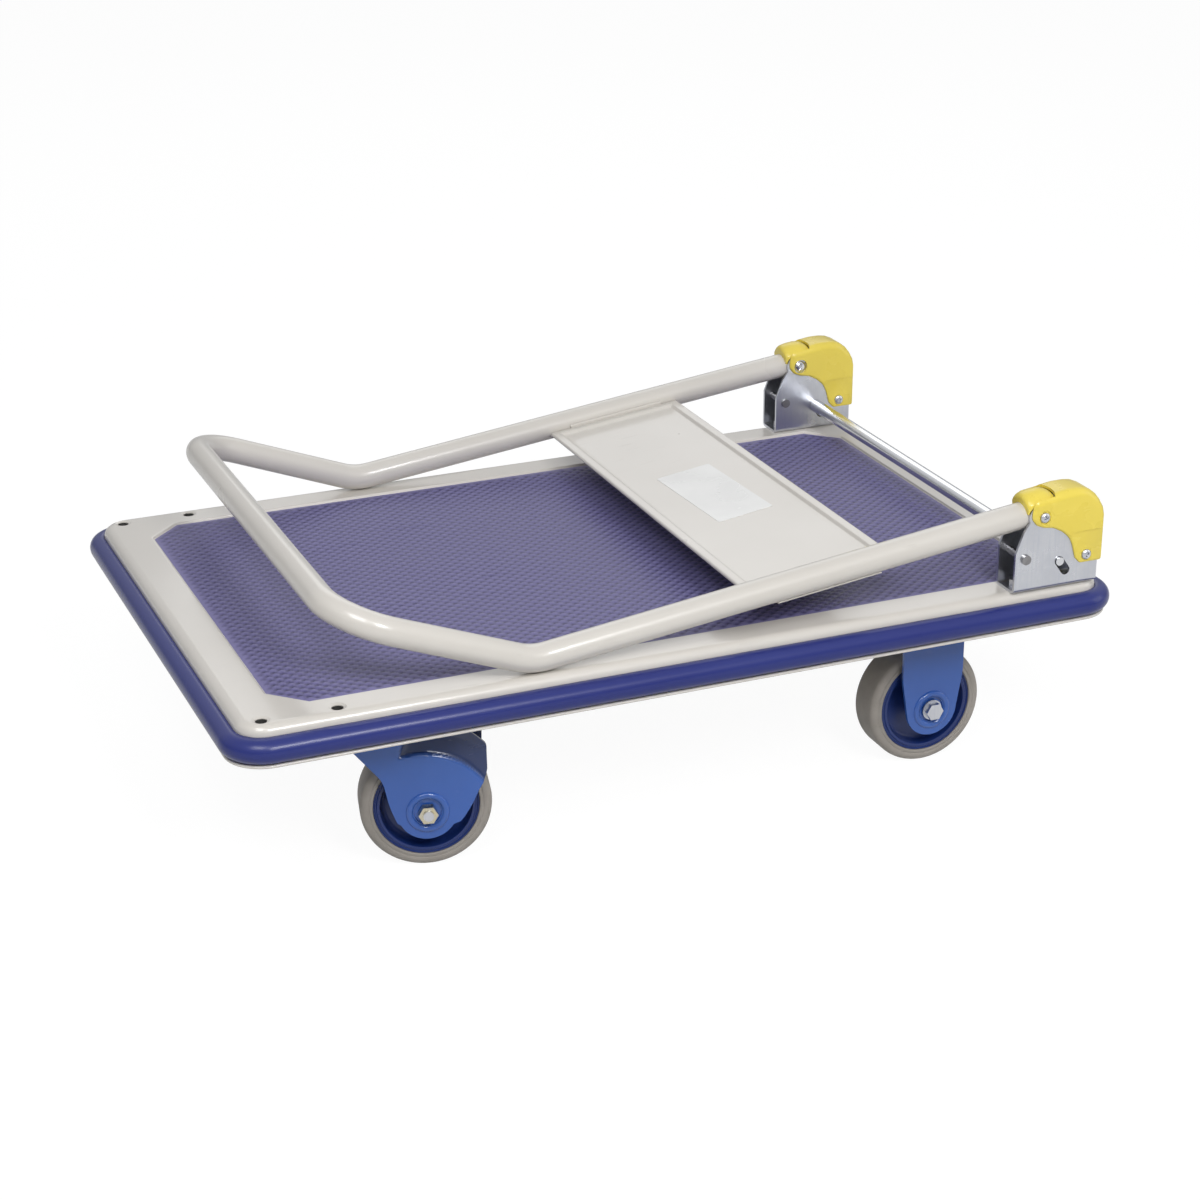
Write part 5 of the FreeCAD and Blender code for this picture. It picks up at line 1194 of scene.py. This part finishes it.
# The boot rides on the tube's end: an arch over the tube, its front edge rounded off. Its
# sides stop short of its back, so that they pass the bracket when the handle stands up.
BOOT_LOW = 0.0045
BOOT_HIGH = 0.0194
BOOT_HALF = 0.0134
BOOT_THIN = 0.0114
WAIST = 0.011
boot_line = np.array([
    (-0.0128, 0.0138), (-0.0127, 0.0152), (-0.0122, 0.0166), (-0.0112, 0.0177), (-0.0098, 0.0184),
    (-0.0076, 0.019), (-0.0036, BOOT_HIGH), (0.003, BOOT_HIGH), (0.0068, 0.0184), (0.0102, 0.0168),
    (0.0122, 0.0153), (0.0131, 0.0145), (0.0134, 0.0132),
])
boot_x = boot_line[:, :1]
boot_top = boot_line[:, 1:]
arch = np.radians(np.linspace(29.5, 150.5, 21))
arch_y = np.concatenate([[BOOT_HALF], 0.0154 * np.cos(arch), [-BOOT_HALF]])
arch_z = np.concatenate([[BOOT_LOW], 0.004 + 0.0154 * np.sin(arch), [BOOT_LOW]])
under = np.radians(np.linspace(155.7, 24.3, 21))
under_yz = 0.01095 * np.array([np.cos(under), np.sin(under)])
for hand, side_y in (("left", -PIVOT[1]), ("right", PIVOT[1])):
    lift = (boot_top - BOOT_LOW) / (BOOT_HIGH - BOOT_LOW)
    narrow = 1 - 0.09 * ease((-0.0098 - boot_x) / 0.003)
    over_y = arch_y[None] * narrow
    over_z = np.maximum(BOOT_LOW + (arch_z[None] - BOOT_LOW) * lift, BOOT_LOW)
    over_z = np.where(
        np.hypot(over_y, over_z) < BOOT_THIN,
        np.sqrt(np.clip(BOOT_THIN ** 2 - over_y ** 2, 0, None)).clip(BOOT_LOW), over_z,
    )
    section_y = np.concatenate([over_y, np.repeat(under_yz[:1], len(boot_x), 0)], 1)
    section_z = np.concatenate([over_z, np.repeat(under_yz[1:], len(boot_x), 0)], 1)
    rings = on_legs(np.repeat(boot_x, section_y.shape[1], 1), section_y + side_y, section_z)
    boot = piece(f"boot_moulding_{hand}", "handle", yellow, solid(rings), merge=True, sharp=45)
    cuts = []
    for side in (-1, 1):
        middle = PIVOT + (0, side_y - PIVOT[1] + side * WAIST, 0)
        cuts.append(solid(turned([(0.0133, 0.0), (0.0133, 0.004)], middle, (0, side, 0), 48)))
        cuts.append(solid(on_legs(
            np.tile([0.008, 0.03, 0.03, 0.008], (2, 1)),
            side_y + side * np.repeat([[WAIST], [0.02]], 4, 1),
            np.tile([-0.03, -0.03, 0.03, 0.03], (2, 1)),
        )))
    drill(boot, *cuts, sharp=45)
    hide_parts(f"handle_boot_{hand}")


# ---- cover screws -----------------------------------------------------------------------
# Small pan head screws, plated, with a cross recess: two in the outer side of each cover
# and one in its inner side.
heads = []
slots = []
for side_y, inwards in ((-PIVOT[1], 1), (PIVOT[1], -1)):
    for turn, (foot, outwards) in zip((0.3, 0.9, 0.5), screw_faces(side_y, inwards)):
        heads.append(surface(turned(cross_head, foot, (0, outwards, 0), 36), round_v=True))
        for angle in (turn, turn + math.pi / 2):
            along = np.array([math.cos(angle), 0, math.sin(angle)])
            wide = np.array([-math.sin(angle), 0, math.cos(angle)])
            depth = np.array([0, outwards, 0])
            corners = np.array([
                [along * a + wide * b for a, b in ((-1, -0.22), (1, -0.22), (1, 0.22), (-1, 0.22))]
            ]) * 0.0024
            cross = np.concatenate([corners * 0.6 + depth * 0.0009, corners + depth * 0.0024])
            slots.append(solid(cross + np.array(foot)))
screws = piece("cross_head_screws", "base", zinc, *heads, merge=True, sharp=40)
drill(screws, *slots, sharp=40)
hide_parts("cover_screws")
